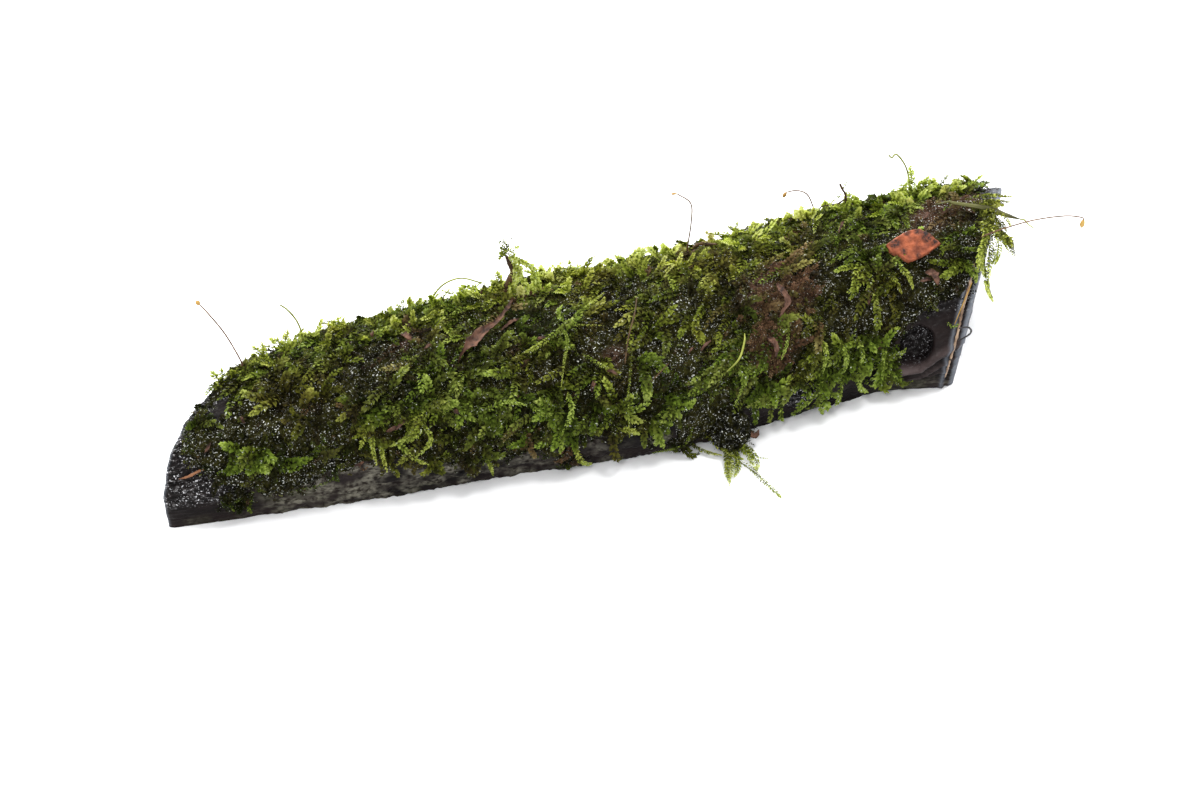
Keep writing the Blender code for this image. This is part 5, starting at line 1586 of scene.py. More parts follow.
@dataclass
class TrailingShoots:
    """Long shoots that lie over the mat or hang over the bare wood at the front.

    Each is along, angle and lift marks, leaf length, lightness and leaf pitch, in millimetres.
    """

    front: dict = field(default_factory=lambda: {
        "front_shoot_left": (((-24, 0.24, 2.4), (-22, 0.06, 2.4), (-21, -0.10, 2.0)), 1.15, 0.80, 0.75),
        "front_shoot_centre": (((1, 0.22, 2.6), (3, 0.02, 2.6), (5, -0.12, 2.2), (6.5, -0.24, 1.8)), 1.45,
                               0.95, 0.75),
        "front_shoot_long": (((35, 0.10, 1.6), (33, -0.05, 2.0), (29, -0.14, 2.0), (24, -0.19, 1.8)), 0.9,
                             0.85, 0.6),
        "front_shoot_right_a": (((58, 0.16, 2.6), (59, -0.02, 2.6), (60, -0.24, 2.2)), 1.2, 0.78, 0.75),
        "front_shoot_right_b": (((68, 0.14, 2.6), (70, -0.06, 3.0), (71, -0.28, 3.0)), 1.25, 0.95, 0.75),
        "front_shoot_right_c": (((75, 0.20, 2.6), (75, 0.00, 3.0), (74.5, -0.20, 2.6)), 1.3, 0.88, 0.75),
    })
    over: tuple = (
        (((-40, 0.70, 3.4), (-44.5, 0.51, 3.8), (-49.5, 0.40, 3.4)), 1.2, 0.92, 0.75),
        (((-49.5, 0.47, 3.4), (-46, 0.36, 4.0), (-42.5, 0.27, 3.8), (-39, 0.21, 3.0)), 1.2, 0.95, 0.75),
        (((-42.5, 0.62, 3.6), (-39.3, 0.46, 4.2), (-39.6, 0.34, 4.0), (-43, 0.27, 3.2)), 1.2, 0.98, 0.75),
        (((-52.5, 0.46, 3.4), (-51.5, 0.33, 3.6), (-50, 0.20, 2.8)), 1.25, 0.85, 0.75),
        (((-55, 0.56, 3.4), (-54.5, 0.42, 3.6), (-52.8, 0.26, 2.8)), 1.2, 0.90, 0.75),
        (((-57, 0.66, 3.2), (-57.4, 0.56, 3.6), (-58, 0.44, 3.0)), 1.2, 0.82, 0.75),
        (((13.2, 0.94, 3.8), (14.5, 0.67, 4.4), (14.6, 0.50, 4.2), (16, 0.28, 3.6), (17, 0.12, 2.6)), 0.6,
         0.82, 0.7),
        (((-11, 1.32, 4.0), (-7.2, 1.18, 4.6), (-5.6, 0.95, 4.4), (-4.5, 0.70, 3.4)), 0.75, 0.92, 0.55),
        (((-10, 1.28, 4.0), (-14, 1.18, 4.6), (-18, 1.12, 3.6)), 1.3, 0.90, 0.75),
        (((-7, 1.28, 4.2), (-2.5, 1.26, 4.6), (2.5, 1.24, 4.0)), 0.55, 0.95, 0.8),
        (((-7, 1.36, 4.2), (-4, 1.46, 4.6), (-2, 1.62, 4.0)), 1.1, 0.85, 0.55),
        (((-9, 1.30, 4.2), (-12, 1.42, 4.6), (-13, 1.56, 4.0)), 1.2, 0.85, 0.75),
        (((-1, 0.98, 3.8), (4, 0.86, 4.2), (8, 0.78, 3.6)), 0.95, 0.88, 0.75),
        (((-26, 0.62, 3.6), (-20, 0.66, 4.4), (-14, 0.62, 3.4)), 1.15, 0.80, 0.75),
        (((-13, 0.62, 3.6), (-9, 0.52, 4.4), (-5, 0.50, 3.4)), 1.1, 0.85, 0.75),
        (((-2.6, 0.66, 3.8), (-0.8, 0.46, 4.4), (-2.6, 0.26, 3.2)), 1.45, 0.92, 0.75),
        (((13, 0.24, 2.8), (17, 0.20, 3.4), (19.5, 0.14, 2.6)), 1.3, 0.95, 0.75),
        (((82, 1.14, 4.2), (85.5, 1.02, 5.0), (89, 0.90, 4.6), (91.5, 0.78, 3.4)), 1.35, 0.86, 0.72),
        (((83, 0.98, 4.2), (85.5, 0.86, 4.6), (88, 0.76, 3.6)), 1.3, 0.78, 0.72),
        (((66, 0.60, 3.8), (68, 0.44, 4.6), (68.5, 0.26, 3.4)), 1.45, 0.86, 0.7),
        (((71.5, 0.52, 3.8), (74, 0.36, 4.6), (75, 0.20, 3.4)), 1.45, 0.80, 0.7),
        (((76.5, 0.50, 3.8), (78.5, 0.36, 4.4), (79.5, 0.22, 3.2)), 1.35, 0.82, 0.7),
        (((86.5, 0.34, 3.0), (87.5, 0.20, 3.4), (87.8, 0.06, 2.6)), 1.25, 0.70, 0.7),
        (((88.5, 0.20, 2.4), (90.4, 0.12, 2.8), (93.5, 0.05, 2.0)), 1.3, 0.66, 0.7),
        (((79, 0.18, 3.0), (80.5, 0.04, 3.4), (83.5, -0.08, 2.6)), 1.4, 0.88, 0.75),
        (((70, 0.20, 3.2), (66.5, 0.06, 3.6), (62, -0.04, 2.6)), 1.2, 0.82, 0.75),
        (((47, 0.58, 3.4), (46.5, 0.40, 3.8), (45, 0.20, 2.8)), 0.95, 0.88, 0.75),
        (((57, 0.76, 3.6), (56.4, 0.64, 4.0), (56, 0.52, 3.2)), 0.9, 0.92, 0.75),
        (((104, 0.49, 0.9), (106.2, 0.44, 1.2), (108.2, 0.46, 0.8)), 0.8, 0.80, 0.75),
        (((108.5, 1.62, 2.4), (110.3, 1.52, 3.2), (110.6, 1.40, 3.6)), 1.0, 1.0, 0.75),
        (((-104, 1.12, 1.0), (-101.5, 1.08, 1.6), (-99.5, 1.02, 1.0)), 1.0, 0.55, 0.75),
        (((-89, 0.10, 1.4), (-92.5, 0.02, 1.6), (-92, -0.12, 1.2)), 0.9, 0.66, 0.75),
        (((-87, 0.04, 1.4), (-88, -0.10, 1.6), (-87.5, -0.22, 1.2)), 0.9, 0.66, 0.75),
        (((-76, 0.10, 1.8), (-70, 0.12, 2.2), (-64, 0.17, 1.8)), 0.9, 0.50, 0.75),
    )
    seed: int = 9

    def build(self) -> None:
        """Makes one joined piece of the hanging ones and one of those over the mat."""
        rng = np.random.default_rng(self.seed)
        for name, rows, slot, nodes in (("front_shoots", self.front.values(), "shoot_green",
                                         tuple(self.front)),
                                        ("trailing_shoots", self.over, "moss_green", ("moss_mat",))):
            foliage = Foliage()
            for marks, leaf, light, pitch in rows:
                table = np.array(marks)
                line = FORM.off(table[:, 0] * MM, table[:, 1], table[:, 2] * MM)
                line[:, 2] = np.maximum(line[:, 2], 1.1 * MM)
                facing = FORM.normal(table[1:2, 0] * MM, table[1:2, 1])[0]
                dress_curve(foliage, line, facing, leaf * 0.9 * MM, light - 0.06, 0.05, rng,
                            pitch=pitch * 1.05)
            finish_piece(foliage.build(name, Finish.LEAF), slot, *nodes)


@dataclass
class HangingTuft:
    """The lump of old moss at the log's foot, with pale strands that lie on the table."""

    middle: tuple = (25.0, -34.6, 6.0)
    size: tuple = (5.4, 4.6, 6.2)
    strands: tuple = (
        (((17.5, -30.5, 5.0), (20.4, -35.9, 3.4), (22.8, -39.6, 2.2), (25.8, -41.6, 1.5)), 1.2, 0.96, 0.8),
        (((22.2, -37.6, 2.4), (20.7, -43.5, 1.3), (19.0, -50.0, 1.1)), 1.3, 1.00, 0.8),
        (((23.4, -38.2, 2.4), (22.2, -42.6, 1.4), (20.6, -46.8, 1.1)), 1.2, 0.98, 0.8),
        (((25.2, -39.6, 2.2), (23.6, -44.0, 1.3), (21.4, -47.1, 1.1)), 1.2, 0.94, 0.8),
        (((26.8, -37.2, 3.6), (28.9, -40.6, 2.2), (29.0, -44.4, 1.4), (27.9, -46.3, 1.1)), 1.3, 0.96, 0.8),
        (((25.8, -38.2, 3.0), (27.5, -41.2, 1.9), (27.7, -45.2, 1.2)), 1.2, 0.92, 0.8),
        (((23.0, -36.8, 3.4), (21.8, -41.0, 1.9), (20.0, -45.0, 1.2), (19.6, -47.6, 1.1)), 1.4, 0.78, 0.8),
        (((26.2, -37.6, 3.6), (27.8, -40.0, 2.4), (28.4, -42.6, 1.5)), 1.4, 0.70, 0.8),
        (((24.4, -38.2, 3.2), (24.2, -41.6, 1.8), (22.8, -44.4, 1.2)), 1.4, 0.62, 0.8),
        (((28.2, -39.8, 1.8), (30.6, -42.0, 1.1), (33.0, -42.9, 0.9)), 0.5, 0.9, 0.7),
        (((24.0, -41.0, 1.6), (27.0, -45.9, 1.1), (27.6, -49.2, 1.0), (28.8, -53.3, 1.0), (29.9, -56.6, 1.0),
          (30.3, -58.6, 1.0)), 1.2, 0.9, 0.85),
        (((13.4, -30.0, 2.4), (15.6, -33.4, 1.5), (18.0, -36.2, 1.4), (20.8, -38.6, 1.8)), 0.95, 0.9, 0.55),
    )
    seed: int = 13

    def build(self) -> None:
        """Makes the lump, its rootlets, the strands and the scrap of dead leaf."""
        middle = np.array(self.middle) * MM
        turn, rise = np.meshgrid(np.linspace(0, 2 * math.pi, 64, endpoint=False),
                                 np.linspace(-math.pi / 2 + 0.03, math.pi / 2 - 0.03, 38), indexing="xy")
        noise = Noise(3)
        swell = 0.78 + 0.44 * noise.layered(turn * 3.2, rise * 3.2, 4)
        blend = smooth_step(5.2, 6.28, turn)
        swell = swell * (1 - blend) + swell[:, :1] * blend
        shape = np.stack([np.cos(rise) * np.cos(turn), np.cos(rise) * np.sin(turn), np.sin(rise)], -1)
        points = middle + shape * swell[..., None] * np.array(self.size) * MM
        points[..., 2] = np.maximum(points[..., 2], 0.35 * MM)
        rows, columns = turn.shape
        ends = [np.arange(columns)[::-1][None], (np.arange(columns) + (rows - 1) * columns)[None]]
        # Fully wet, so the lump gets the bed's coat and painted glints.
        tint = np.tile([0, 0, 1, 1], (rows * columns, 1))
        lump = mesh_piece("tuft_lump", points.reshape(-1, 3), [grid_faces(rows, columns, closed=True), *ends],
                          Finish.BED.material, smooth=False, attributes={"growth": tint})
        finish_piece(lump, "hanging_green", "hanging_tuft")
        rng = np.random.default_rng(self.seed)
        foliage = Foliage()
        for spots, leaf, light, pitch in self.strands:
            dress_curve(foliage, np.array(spots) * MM, (0, -0.35, 1), leaf * 0.9 * MM, light - 0.28, 0.08,
                        rng, pitch=pitch * 0.85, turns=(-1.45, 1.45, 0.6, -0.6), broad=0.55, open_angle=1.0,
                        foot=0.55, stem=0.16)
        finish_piece(foliage.build("tuft_strands", Finish.YOUNG_LEAF), "hanging_green", "hanging_tuft")
        foliage = Foliage()
        for _ in range(120):
            way = unit(rng.normal(0, 1, 3) * [1, 0.8, 0.8] + [0, -0.4, 0.3])
            start = middle + way * np.array(self.size) * MM * 0.7
            end = middle + way * np.array(self.size) * MM * rng.uniform(1.02, 1.3) + rng.normal(0, 0.6,
                                                                                                3) * MM
            end[2] = max(end[2], 0.9 * MM)
            dress_curve(foliage, np.array([start, (start + end) / 2, end]), (0, -1, 0.3), 0.65 * MM,
                        rng.uniform(0.0, 0.16), 0.1, rng, turns=(-1.2, 1.2), wet=0.5)
        finish_piece(foliage.build("tuft_rootlets"), "hanging_green", "hanging_tuft")
        scrap = ribbon("tuft_scrap", np.array([(27.4, -33.6, 5.6), (29.4, -35.2, 5.2), (31.2, -36.4, 4.2),
                                               (32.8, -34.6, 4.4)]) * MM, 1.5, (0.1, -0.7, 0.7), 0.3,
                                               Finish.DEAD_LEAF)
        finish_piece(scrap, "hanging_green", "hanging_tuft")


@dataclass
class EndDrape:
    """The light shoots that hang over the right cut."""

    root: tuple = (107.6, -5.0, 36.4)
    ends: tuple = (
        ((109.9, -4.8, 36.6), (109.1, -9.4, 35.6), (107.7, -14.2, 34.6), (105.5, -18.0, 32.6),
         (103.0, -22.3, 30.0), (102.9, -24.2, 27.9), (103.5, -25.8, 26.5)),
        ((110.1, -6.4, 36.2), (111.0, -9.2, 35.8), (111.6, -13.4, 34.8), (111.7, -17.3, 33.9)),
        ((111.9, -12.0, 35.2), (113.7, -13.3, 34.7), (113.4, -15.5, 34.2)),
        ((109.7, -8.8, 36.2), (109.8, -13.3, 34.9), (108.1, -16.7, 33.6), (106.6, -18.4, 32.0)),
        ((108.0, -9.8, 35.6), (105.1, -14.6, 34.5), (103.2, -17.9, 32.5), (102.8, -21.1, 30.4)),
        ((111.2, -5.2, 36.6), (112.3, -9.6, 35.6), (111.9, -13.9, 34.5)),
        ((111.0, -2.3, 36.9), (112.8, -5.7, 36.1), (112.3, -10.6, 35.2)),
        ((110.2, -3.4, 37.0), (113.6, -6.8, 36.2), (114.2, -9.6, 35.0)),
        ((108.6, -8.0, 36.6), (107.6, -12.0, 35.4), (104.4, -15.8, 33.8), (102.4, -19.6, 31.4)),
        ((110.4, -9.0, 35.9), (112.9, -13.0, 34.6), (112.6, -18.4, 32.8)),
    )
    tips: tuple = (
        ((107.4, 4.0, 36.0), (110.2, -0.4, 39.4), (113.2, -2.4, 40.6), (117.4, -4.4, 40.6)),
        ((108.4, 2.0, 36.0), (112.6, -0.6, 38.6), (116.0, -2.6, 39.0)),
    )
    seed: int = 17

    def build(self) -> None:
        """Makes one joined piece of them."""
        rng = np.random.default_rng(self.seed)
        foliage = Foliage()
        for spots in (*((self.root, *end) for end in self.ends), *self.tips):
            line = np.array(spots) * MM
            for shift in (0.0, 1.0):
                near = line + rng.normal(0, 0.7, 3) * shift * MM
                dress_curve(foliage, near, (0.1, -0.7, 0.7), rng.uniform(1.0, 1.45) * MM,
                            rng.uniform(0.2, 0.7), 0.08, rng, pitch=0.7, broad=0.55, foot=0.6)
        finish_piece(foliage.build("end_drape_shoots", Finish.YOUNG_LEAF), "shoot_green", "end_drape")


@dataclass
class Stalks:
    """Spore stalks with their capsules, and bare stalks.

    Each has its bends in millimetres from its root, the way that its capsule hangs, and the capsule's
    length and radius.
    """

    bends: dict = field(default_factory=lambda: {
        "spore_stalk_left": (((0, 0, 0), (-3.2, 1.0, 9.0), (-6.6, 2.1, 15.5), (-8.8, 2.8, 19.0)),
                             (-0.5, 0.2, 0.8), 1.5, 0.66),
        "spore_stalk_middle": (((0, 0, 0), (0.8, -0.2, 8.0), (0.6, 0, 14.5), (-3.2, 1.0, 18.0)),
                               (-0.9, 0.3, -0.1), 1.7, 0.34),
        "spore_stalk_right": (((0, 0, 0), (5.6, -1.8, 3.2), (14.0, -4.6, 6.6), (22.0, -7.3, 8.2),
                               (26.6, -8.8, 7.8), (27.4, -9.1, 7.0)), (-0.15, 0, -1), 2.7, 0.72),
        "spore_stalk_back": (((0, 0, 0), (-1.8, 0.6, 4.4), (-4.6, 1.5, 5.8), (-7.4, 2.4, 5.2)),
                             (-0.5, 0.1, -0.9), 1.9, 0.55),
        "spore_stalk_bare": (((0, 0, 0), (-1.0, 0.3, 4.0), (-3.0, 1.0, 7.6), (-5.0, 1.6, 9.6)), None, 0, 0),
        "shoot_forked_tip": (((0, 0, 0), (-0.6, 0.2, 5.0), (-2.0, 0.6, 9.6), (-4.4, 1.4, 13.0),
                              (-5.6, 1.8, 11.9), (-6.6, 2.1, 13.0)), None, 0, 0),
        "arching_stem": (((0, 0, 0), (3.0, -1.0, 4.6), (7.7, -2.5, 6.8), (13.3, -4.3, 5.0)), None, 0, 0),
    })

    def build(self) -> None:
        """Makes each stalk, and its capsule on its end."""
        for node, (bends, hang, length, radius) in self.bends.items():
            spots = np.array(bends, float) * MM
            box = node_box(node)
            low, high = spots.min(0), spots.max(0)
            shift = np.array([box[0][0] - low[0] if spots[-1][0] < 0 else box[1][0] - high[0] - 0.3 * MM,
                              (box[0][1] + box[1][1] - low[1] - high[1]) / 2, box[0][2] - low[2]])
            spots = spots + shift
            buried = np.vstack([spots[0] - [0, 0, 1.6 * MM], spots])
            finish = Finish.STALK if hang else Finish.STEM
            slot = "stalk_brown" if hang else "stem_green"
            width = 0.22 if hang else 0.26
            stalk = tube(f"{node}_line", buried, (width * 1.3, width, width, width * 0.9), finish, 60, 8)
            finish_piece(stalk, slot, node)
            if hang:
                way = unit(np.array(hang, float))
                line = np.array([spots[-1] + way * length * MM * share for share in (-0.05, 0.3, 0.7, 1.0)])
                body = tube(f"{node}_capsule", line,
                            (0.18, 0.55 * radius, 0.9 * radius, radius, 0.95 * radius,
                                                      0.6 * radius, 0.35 * radius), Finish.CAPSULE, 22, 14)
                finish_piece(body, slot, node)


@dataclass
class ClayChip:
    """The chip of red clay: an irregular slab with worn edges and a fractured face."""

    middle: tuple = (88.2, 1.19)
    thickness: float = 2.3
    lift: float = 3.7
    scale: float = 0.90
    stains: tuple = ((4.8, 1.9, 1.7), (2.6, 3.9, 1.2), (-5.8, 1.6, 1.5), (-3.6, -1.4, 0.9), (6.6, -0.4, 1.0),
                     (0.4, -3.4, 0.8), (-1.0, 4.2, 0.8))
    outline: tuple = ((8.4, -1.2), (6.0, 2.4), (3.4, 4.9), (-0.2, 4.9), (-4.6, 3.6), (-8.0, 2.0),
                      (-7.3, -0.6), (-2.6, -4.8), (-0.6, -4.5), (4.2, -3.2))

    def build(self) -> None:
        """Makes the slab.

        Its plane is the tangent plane of the log. A ring follows the outline's corners. Rings run from
        the middle of the underside, out round the edge and back to the middle of the top, pushed in and
        out by noise.
        """
        s, a = np.array(self.middle[0] * MM), np.array(self.middle[1])
        step = 0.5 * MM
        du = (FORM.point(s + step, a) - FORM.point(s - step, a)) / (2 * step)
        dv = unit(FORM.point(s, a + 0.02) - FORM.point(s, a - 0.02))
        out = unit(np.cross(du, dv))
        out = unit(out + np.array([0.05, -0.42, 0.0]))
        dv = unit(np.cross(out, du))
        corners = np.array(self.outline) * self.scale
        sides = 120
        share = np.linspace(0, len(corners), sides, endpoint=False)
        i = share.astype(int)
        t = (share - i)[:, None]
        edge = corners[i] * (1 - t) + corners[(i + 1) % len(corners)] * t
        profile = [(r, -1.0) for r in np.linspace(0.02, 0.93, 12)]
        profile += [(0.975, -0.92), (1.0, -0.7), (1.01, -0.35), (1.0, 0.0)]
        profile += [(1.0, 0.35), (0.985, 0.7), (0.96, 0.9)]
        profile += [(r, 1.0) for r in np.linspace(0.93, 0.02, 30)]
        reach = np.array([p[0] for p in profile])[:, None]
        level = np.array([p[1] for p in profile])[:, None]
        noise = Noise(31)
        x, y = edge[None, :, 0] * reach, edge[None, :, 1] * reach
        rough = noise.layered(x / 1.5 + 40, y / 1.5 + 40 + level, 4) - 0.5
        top = (level > 0.5) * (0.8 * rough + 0.25 * smooth_step(3, 7, x) - 0.35 * smooth_step(2, 4.4, y))
        z = level * self.thickness / 2 + top + 0.2 * rough
        grow_out = 1 + 0.10 * (noise.layered(x / 1.6 + 9, level * 2 + y / 2, 3) - 0.5) * (reach > 0.9)
        middle = FORM.off(s, a, self.lift * MM)
        flat = (x * grow_out)[..., None] * du + (y * grow_out)[..., None] * dv
        points = middle + (flat + z[..., None] * out) * MM
        rows = len(profile)
        ends = [np.arange(sides)[::-1][None], (np.arange(sides) + (rows - 1) * sides)[None]]
        stain = np.zeros_like(x)
        for at_x, at_y, radius in self.stains:
            away = np.hypot(x - at_x * self.scale, y - at_y * self.scale) + 0.9 * rough
            stain = np.maximum(stain, smooth_step(radius + 0.5, radius - 0.5, away))
        tint = np.stack([stain, (reach < 0.98) * (level > 0) + 0 * x, 0 * x, 1 + 0 * x], -1).reshape(-1, 4)
        chip = mesh_piece("red_clay_chip", points.reshape(-1, 3),
                          [grid_faces(rows, sides, closed=True), *ends],
                          Finish.CLAY.material, attributes={"clay_tone": tint})
        finish_piece(chip, "clay_red", "clay_chip")


@dataclass
class DeadMatter:
    """Dead leaves, stems and bark on the moss and on the bare wood."""

    scraps: tuple = (
        (-17.0, 0.70, 2.2), (4.5, 0.67, 2.0), (9.5, 0.74, 3.0), (-47.5, 0.63, 3.2), (-50.0, 0.60, 2.4),
        (-57.5, 0.28, 2.0), (-82.0, 0.36, 2.6), (-100.0, 0.76, 2.6), (-26.0, 1.46, 4.0), (-15.0, 1.24, 2.2),
        (34.5, 0.82, 2.4), (30.5, 0.80, 1.6), (-2.0, 0.06, 2.2), (-46.5, 1.33, 2.0), (-33.0, 0.65, 2.0),
        (85.0, 0.36, 2.4), (79.0, 0.79, 2.2), (95.0, 0.85, 2.8), (64.0, 1.70, 3.0), (12.0, 0.10, 2.0),
        (43.0, 0.06, 2.4), (-68.0, 1.75, 2.4), (20.0, 1.98, 2.6), (90.0, 1.55, 2.6), (-92.0, 0.95, 2.0))
    seed: int = 19

    def sheet(self, name: str, marks: tuple, width: float, curl: float, finish: Finish, slot: str,
              node: str, shape: tuple = (0.1, 0.8, 1.0, 0.8, 0.1)) -> None:
        """A thin curled leaf or flake over the moss, through marks of along, angle and lift."""
        table = np.array(marks, float)
        spots = FORM.off(table[:, 0] * MM, table[:, 1], table[:, 2] * MM)
        facing = FORM.normal(table[1:2, 0] * MM, table[1:2, 1])[0]
        finish_piece(ribbon(name, spots, width, facing, curl, finish, shape), slot, node)

    def line(self, name: str, marks: tuple, radii: tuple, finish: Finish, slot: str, node: str,
             wobble: float = 0.15) -> None:
        """A stem, fibre or splinter through marks, each an along, an angle and a lift in millimetres."""
        table = np.array(marks, float)
        spots = FORM.off(table[:, 0] * MM, table[:, 1], table[:, 2] * MM)
        finish_piece(tube(name, spots, radii, finish, 60, 8, wobble), slot, node)

    def felt(self, name: str, middle: tuple, radius: float, count: int, slot: str, node: str) -> None:
        """A felt of brown dead shoots round a place on the log."""
        rng = np.random.default_rng(self.seed)
        foliage = Foliage()
        away = radius * np.sqrt(rng.uniform(0, 1, count))
        turn = rng.uniform(0, 2 * math.pi, count)
        s = (middle[0] + away * np.cos(turn)) * MM
        a = middle[1] + away * np.sin(turn) * MM / FORM.radius
        grow(foliage, Habit.FELT.value, s, a, rng.uniform(0.3, 0.72, count), rng.uniform(0.8, 1.0, count),
             rng)
        finish_piece(foliage.build(name), slot, node)

    def small_scraps(self) -> None:
        """Small curled bits of dead leaf, joined to one piece."""
        rng = np.random.default_rng(self.seed)
        points, faces, count = [], [], 0
        for along, angle, length in self.scraps:
            turn = rng.uniform(0, 2 * math.pi)
            reach = np.array([-0.6, 0.0, 0.6]) * length
            s = (along + reach * np.cos(turn)) * MM
            a = angle + reach * np.sin(turn) * MM / FORM.radius
            lift = np.maximum(FIELD.bed_lift(s, a), 0) + np.array([1.0, 1.9, 1.4]) * MM
            spots = FORM.off(s, a, lift)
            facing = FORM.normal(s[1:2], a[1:2])[0] + rng.normal(0, 0.3, 3)
            top, base = ribbon_sides(spots, rng.uniform(0.5, 1.1), facing, 0.5, 18, 7, int(along) % 97)
            part, quads = two_sided(top, base)
            points.append(part)
            faces += [quad + count for quad in quads]
            count += len(part)
        scraps = mesh_piece("small_dead_scraps", np.concatenate(points), faces, Finish.DEAD_LEAF.material)
        finish_piece(scraps, "leaf_brown", "curled_leaf")

    def build(self) -> None:
        """Makes every piece."""
        self.sheet("curled_dead_leaf", ((-36.6, 1.14, 3.0), (-36.2, 1.22, 4.2), (-34.0, 1.28, 4.6),
                                        (-31.6, 1.36, 4.6),
                                        (-29.8, 1.46, 4.4), (-29.4, 1.60, 4.0), (-30.6, 1.80, 3.4)),
                   3.2, 0.3, Finish.DEAD_LEAF, "leaf_brown", "curled_leaf",
                   (0.08, 0.14, 0.30, 0.80, 1.0, 0.75, 0.34, 0.30, 0.34, 0.30, 0.12))
        self.sheet("small_dead_leaf", ((94, 0.95, 2.6), (97, 0.90, 3.6), (99, 0.80, 2.8)), 2.2, 0.3,
                   Finish.DEAD_LEAF, "leaf_brown", "leaf_scrap_right")
        self.sheet("left_bark_scrap", ((-57, 1.55, 3.4), (-55, 1.50, 4.2), (-53, 1.45, 3.4)), 1.8, 0.25,
                   Finish.DEAD_LEAF, "bark_pale", "bark_scrap_left")
        self.felt("brown_felt_upper", (53.5, 1.10), 7.2, 150, "bark_pale", "bark_flakes_upper")
        self.felt("brown_felt_lower", (53.5, 0.66), 5.0, 85, "bark_pale", "bark_flakes_lower")
        self.small_scraps()
        self.sheet("felt_flake_upper", ((50, 1.20, 4.4), (52, 1.10, 5.4), (54, 1.02, 5.0), (53, 0.90, 3.8)),
                   1.8, 0.3, Finish.DEAD_LEAF, "bark_pale", "bark_flakes_upper")
        self.sheet("felt_flake_lower", ((51, 0.72, 4.0), (53, 0.66, 5.0), (54, 0.56, 3.8)), 1.5, 0.3,
                   Finish.DEAD_LEAF, "bark_pale", "bark_flakes_lower")
        self.line("bark_twig_top", ((16, 2.24, 2.6), (18.5, 2.2, 3.4), (22, 2.12, 3.2), (26, 2.00, 2.8)),
                  (0.3, 0.5, 0.4, 0.6, 0.35, 0.2), Finish.TWIG, "fibre_brown", "bark_twig", 0.35)
        self.line("dead_stem_long", ((9.6, 1.47, 3.8), (11.0, 1.26, 4.8), (11.6, 1.02, 5.0),
                                     (12.6, 0.78, 3.8)),
                  (0.14, 0.18, 0.18, 0.14), Finish.TWIG, "fibre_brown", "dead_stem_centre", 0.1)
        self.line("small_twig", ((25, 0.71, 3.8), (22.5, 0.66, 4.4), (19.5, 0.60, 3.6)), (0.12, 0.16, 0.12),
                  Finish.TWIG, "fibre_brown", "dead_stem_centre", 0.1)
        self.line("green_stem_right", ((44.5, 0.80, 4.6), (44.6, 0.72, 5.4), (43.2, 0.64, 5.2),
                                       (40.5, 0.57, 4.0)),
                  (0.14, 0.24, 0.28, 0.24, 0.12), Finish.STEM, "fibre_brown", "dead_stem_right", 0.05)
        self.line("orange_splinter", ((-107.0, 0.44, 0.7), (-104.5, 0.46, 1.1), (-102, 0.50, 1.0),
                                      (-99.6, 0.52, 0.6)),
                  (0.1, 0.3, 0.4, 0.34, 0.16), Finish.ORANGE, "bark_pale", "wood_splinter", 0.3)
        self.line("bark_strip_long", ((108.3, 1.04, 0.7), (108.5, 0.80, 0.8), (108.2, 0.60, 0.6),
                                      (108.4, 0.35, 0.7),
                                      (108.1, 0.10, 0.7), (108.0, -0.12, 0.4)),
                                      (0.22, 0.38, 0.3, 0.4, 0.3, 0.2),
                  Finish.BARK, "bark_pale", "bark_strip", 0.35)
        self.line("rim_yellow_stem", ((108.9, 0.84, 1.3), (108.0, 0.70, 1.4), (107.2, 0.56, 1.2),
                                      (106.8, 0.46, 0.7)),
                  (0.1, 0.14, 0.13, 0.1), Finish.OCHRE, "bark_pale", "bark_strip", 0.1)
        box = node_box("bark_fibre")
        spots = np.array([(0.1, 0.2, 1.0), (0.7, 0.3, 0.92), (1.0, 0.4, 0.6), (0.9, 0.5, 0.3),
                          (0.3, 0.6, 0.0)])
        loop = tube("fibre_loop", box[0] + spots * (box[1] - box[0]), (0.22, 0.26, 0.28, 0.26, 0.2),
                    Finish.FIBRE, 40, 8)
        finish_piece(loop, "fibre_brown", "bark_fibre")


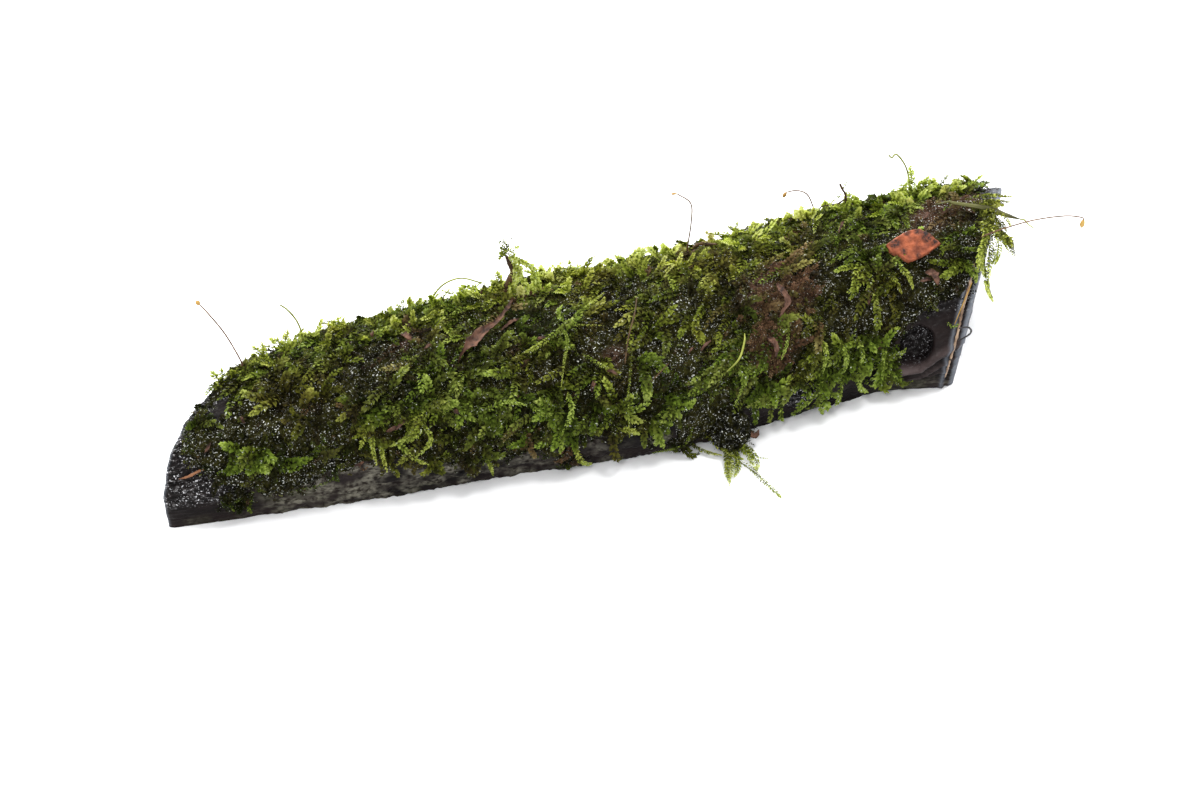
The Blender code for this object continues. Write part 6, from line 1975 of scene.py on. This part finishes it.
@dataclass
class GrassBlade:
    """The narrow blade that comes out of the moss and sticks out past the right end, with a thin pale tip."""

    root: tuple = ((91.5, 1.68, 3.0), (96.0, 1.66, 4.4))
    bend: tuple = ((103.2, 1.9, 39.2), (109.4, -1.8, 39.0), (112.9, -2.8, 38.0), (115.8, -3.4, 36.3),
                   (118.6, -3.6, 34.8), (121.4, -3.4, 33.2))
    tip: tuple = ((122.9, -3.2, 32.4), (124.4, -2.8, 30.4), (127.0, -2.0, 27.6))
    width: float = 1.9

    def build(self) -> None:
        """Makes the blade: a ribbon with a raised midrib, narrowing to its tip, and the tip's thread."""
        table = np.array(self.root)
        start = FORM.off(table[:, 0] * MM, table[:, 1], table[:, 2] * MM)
        line = np.concatenate([start, np.array(self.bend) * MM])
        share = np.linspace(0, 1, 70)
        middle = curve_through(line, share)
        ahead = unit(np.gradient(middle, axis=0))
        side = unit(np.cross(ahead, [0.2, -0.6, 0.8]))
        up = np.cross(side, ahead)
        wide = self.width / 2 * MM * np.interp(share, [0, 0.25, 0.45, 0.62, 0.82, 1],
                                                [0.2, 0.45, 0.8, 1.0, 0.7, 0.2])
        loop = ((-1, 0.0), (-0.5, 0.10), (-0.12, 0.08), (0, 0.26), (0.12, 0.08), (0.5, 0.10), (1, 0.0),
                (0.4, -0.06), (-0.4, -0.06))
        points = np.stack([middle + side * wide[:, None] * x + up * z * MM for x, z in loop], 1)
        rows, columns = points.shape[:2]
        ends = [np.arange(columns)[None], (np.arange(columns)[::-1] + (rows - 1) * columns)[None]]
        blade = mesh_piece("long_blade", points.reshape(-1, 3),
                           [grid_faces(rows, columns, closed=True)[:, ::-1], *ends], Finish.BLADE.material)
        finish_piece(blade, "blade_green", "grass_blade")
        thread = tube("blade_tip", np.concatenate([line[-1:], np.array(self.tip) * MM]),
                      (0.26, 0.26, 0.22, 0.2), Finish.STEM, 30, 8, 0.1)
        finish_piece(thread, "blade_green", "grass_blade")


@dataclass
class Studio:
    """The pale floor, the soft lights and the camera."""

    target: tuple = (-7, -18, 12)
    azimuth: float = -18
    elevation: float = 40
    distance: float = 766
    lens: float = 85
    lamps: tuple = (
        ("dome_light", (0.0, 0.1, 1.6), 2.0, 8.0), ("back_light", (0.1, 1.1, 0.55), 1.1, 12.0),
        ("lamp_back", (-0.15, 0.55, 0.85), 0.24, 6.0), ("lamp_left", (-0.85, 0.25, 0.65), 0.24, 6.0),
        ("lamp_right", (0.85, 0.2, 0.65), 0.24, 6.0), ("lamp_front", (-0.45, -0.75, 0.95), 0.24, 5.0),
        ("lamp_high", (0.2, -0.2, 1.15), 0.24, 5.0),
    )

    def area(self, name: str, place: tuple, size: float, power: float) -> None:
        """A square light that looks at the object."""
        lamp = bpy.data.lights.new(name, "AREA")
        lamp.size = size
        lamp.energy = power
        thing = bpy.data.objects.new(name, lamp)
        thing.location = place
        thing.rotation_euler = (Vector((0, 0, 0)) - Vector(place)).to_track_quat("-Z", "Y").to_euler()
        bpy.context.scene.collection.objects.link(thing)

    def build(self) -> None:
        """Makes the floor, the lights, the sky and the camera."""
        material, _, shader = new_material("pale_floor")
        shader.inputs["Base Color"].default_value = (0.93, 0.935, 0.945, 1)
        shader.inputs["Roughness"].default_value = 0.9
        size = 6.0
        corners = np.array([(-size, -size, 0), (size, -size, 0), (size, size, 0), (-size, size, 0)])
        floor = mesh_piece("floor", corners, [np.array([[0, 1, 2, 3]])], material, boxed=False)
        for lamp in self.lamps:
            self.area(*lamp)
        world = bpy.data.worlds.new("studio")
        world.use_nodes = True
        world.node_tree.nodes["Background"].inputs[0].default_value = (1, 1, 1, 1)
        world.node_tree.nodes["Background"].inputs[1].default_value = 0.90
        bpy.context.scene.world = world
        bpy.context.scene.view_settings.view_transform = "Standard"
        turn, rise = math.radians(self.azimuth), math.radians(self.elevation)
        back = Vector((math.sin(turn) * math.cos(rise), -math.cos(turn) * math.cos(rise), math.sin(rise)))
        camera = bpy.data.objects.new("camera", bpy.data.cameras.new("camera"))
        camera.data.lens = self.lens
        camera.data.sensor_width = 36
        camera.location = (Vector(self.target) + back * self.distance) * MM
        camera.rotation_euler = (-back).to_track_quat("-Z", "Y").to_euler()
        bpy.context.scene.collection.objects.link(camera)
        bpy.context.scene.camera = camera


def main() -> None:
    """Builds every piece in order."""
    logging.basicConfig(level=logging.INFO, format="%(message)s")
    for part in (Driftwood(), MossBed(), MossShoots(), StandingPlants(), TrailingShoots(), HangingTuft(),
                 EndDrape(), Stalks(), ClayChip(), DeadMatter(), GrassBlade(), Studio()):
        part.build()


if __name__ == "__main__":
    main()
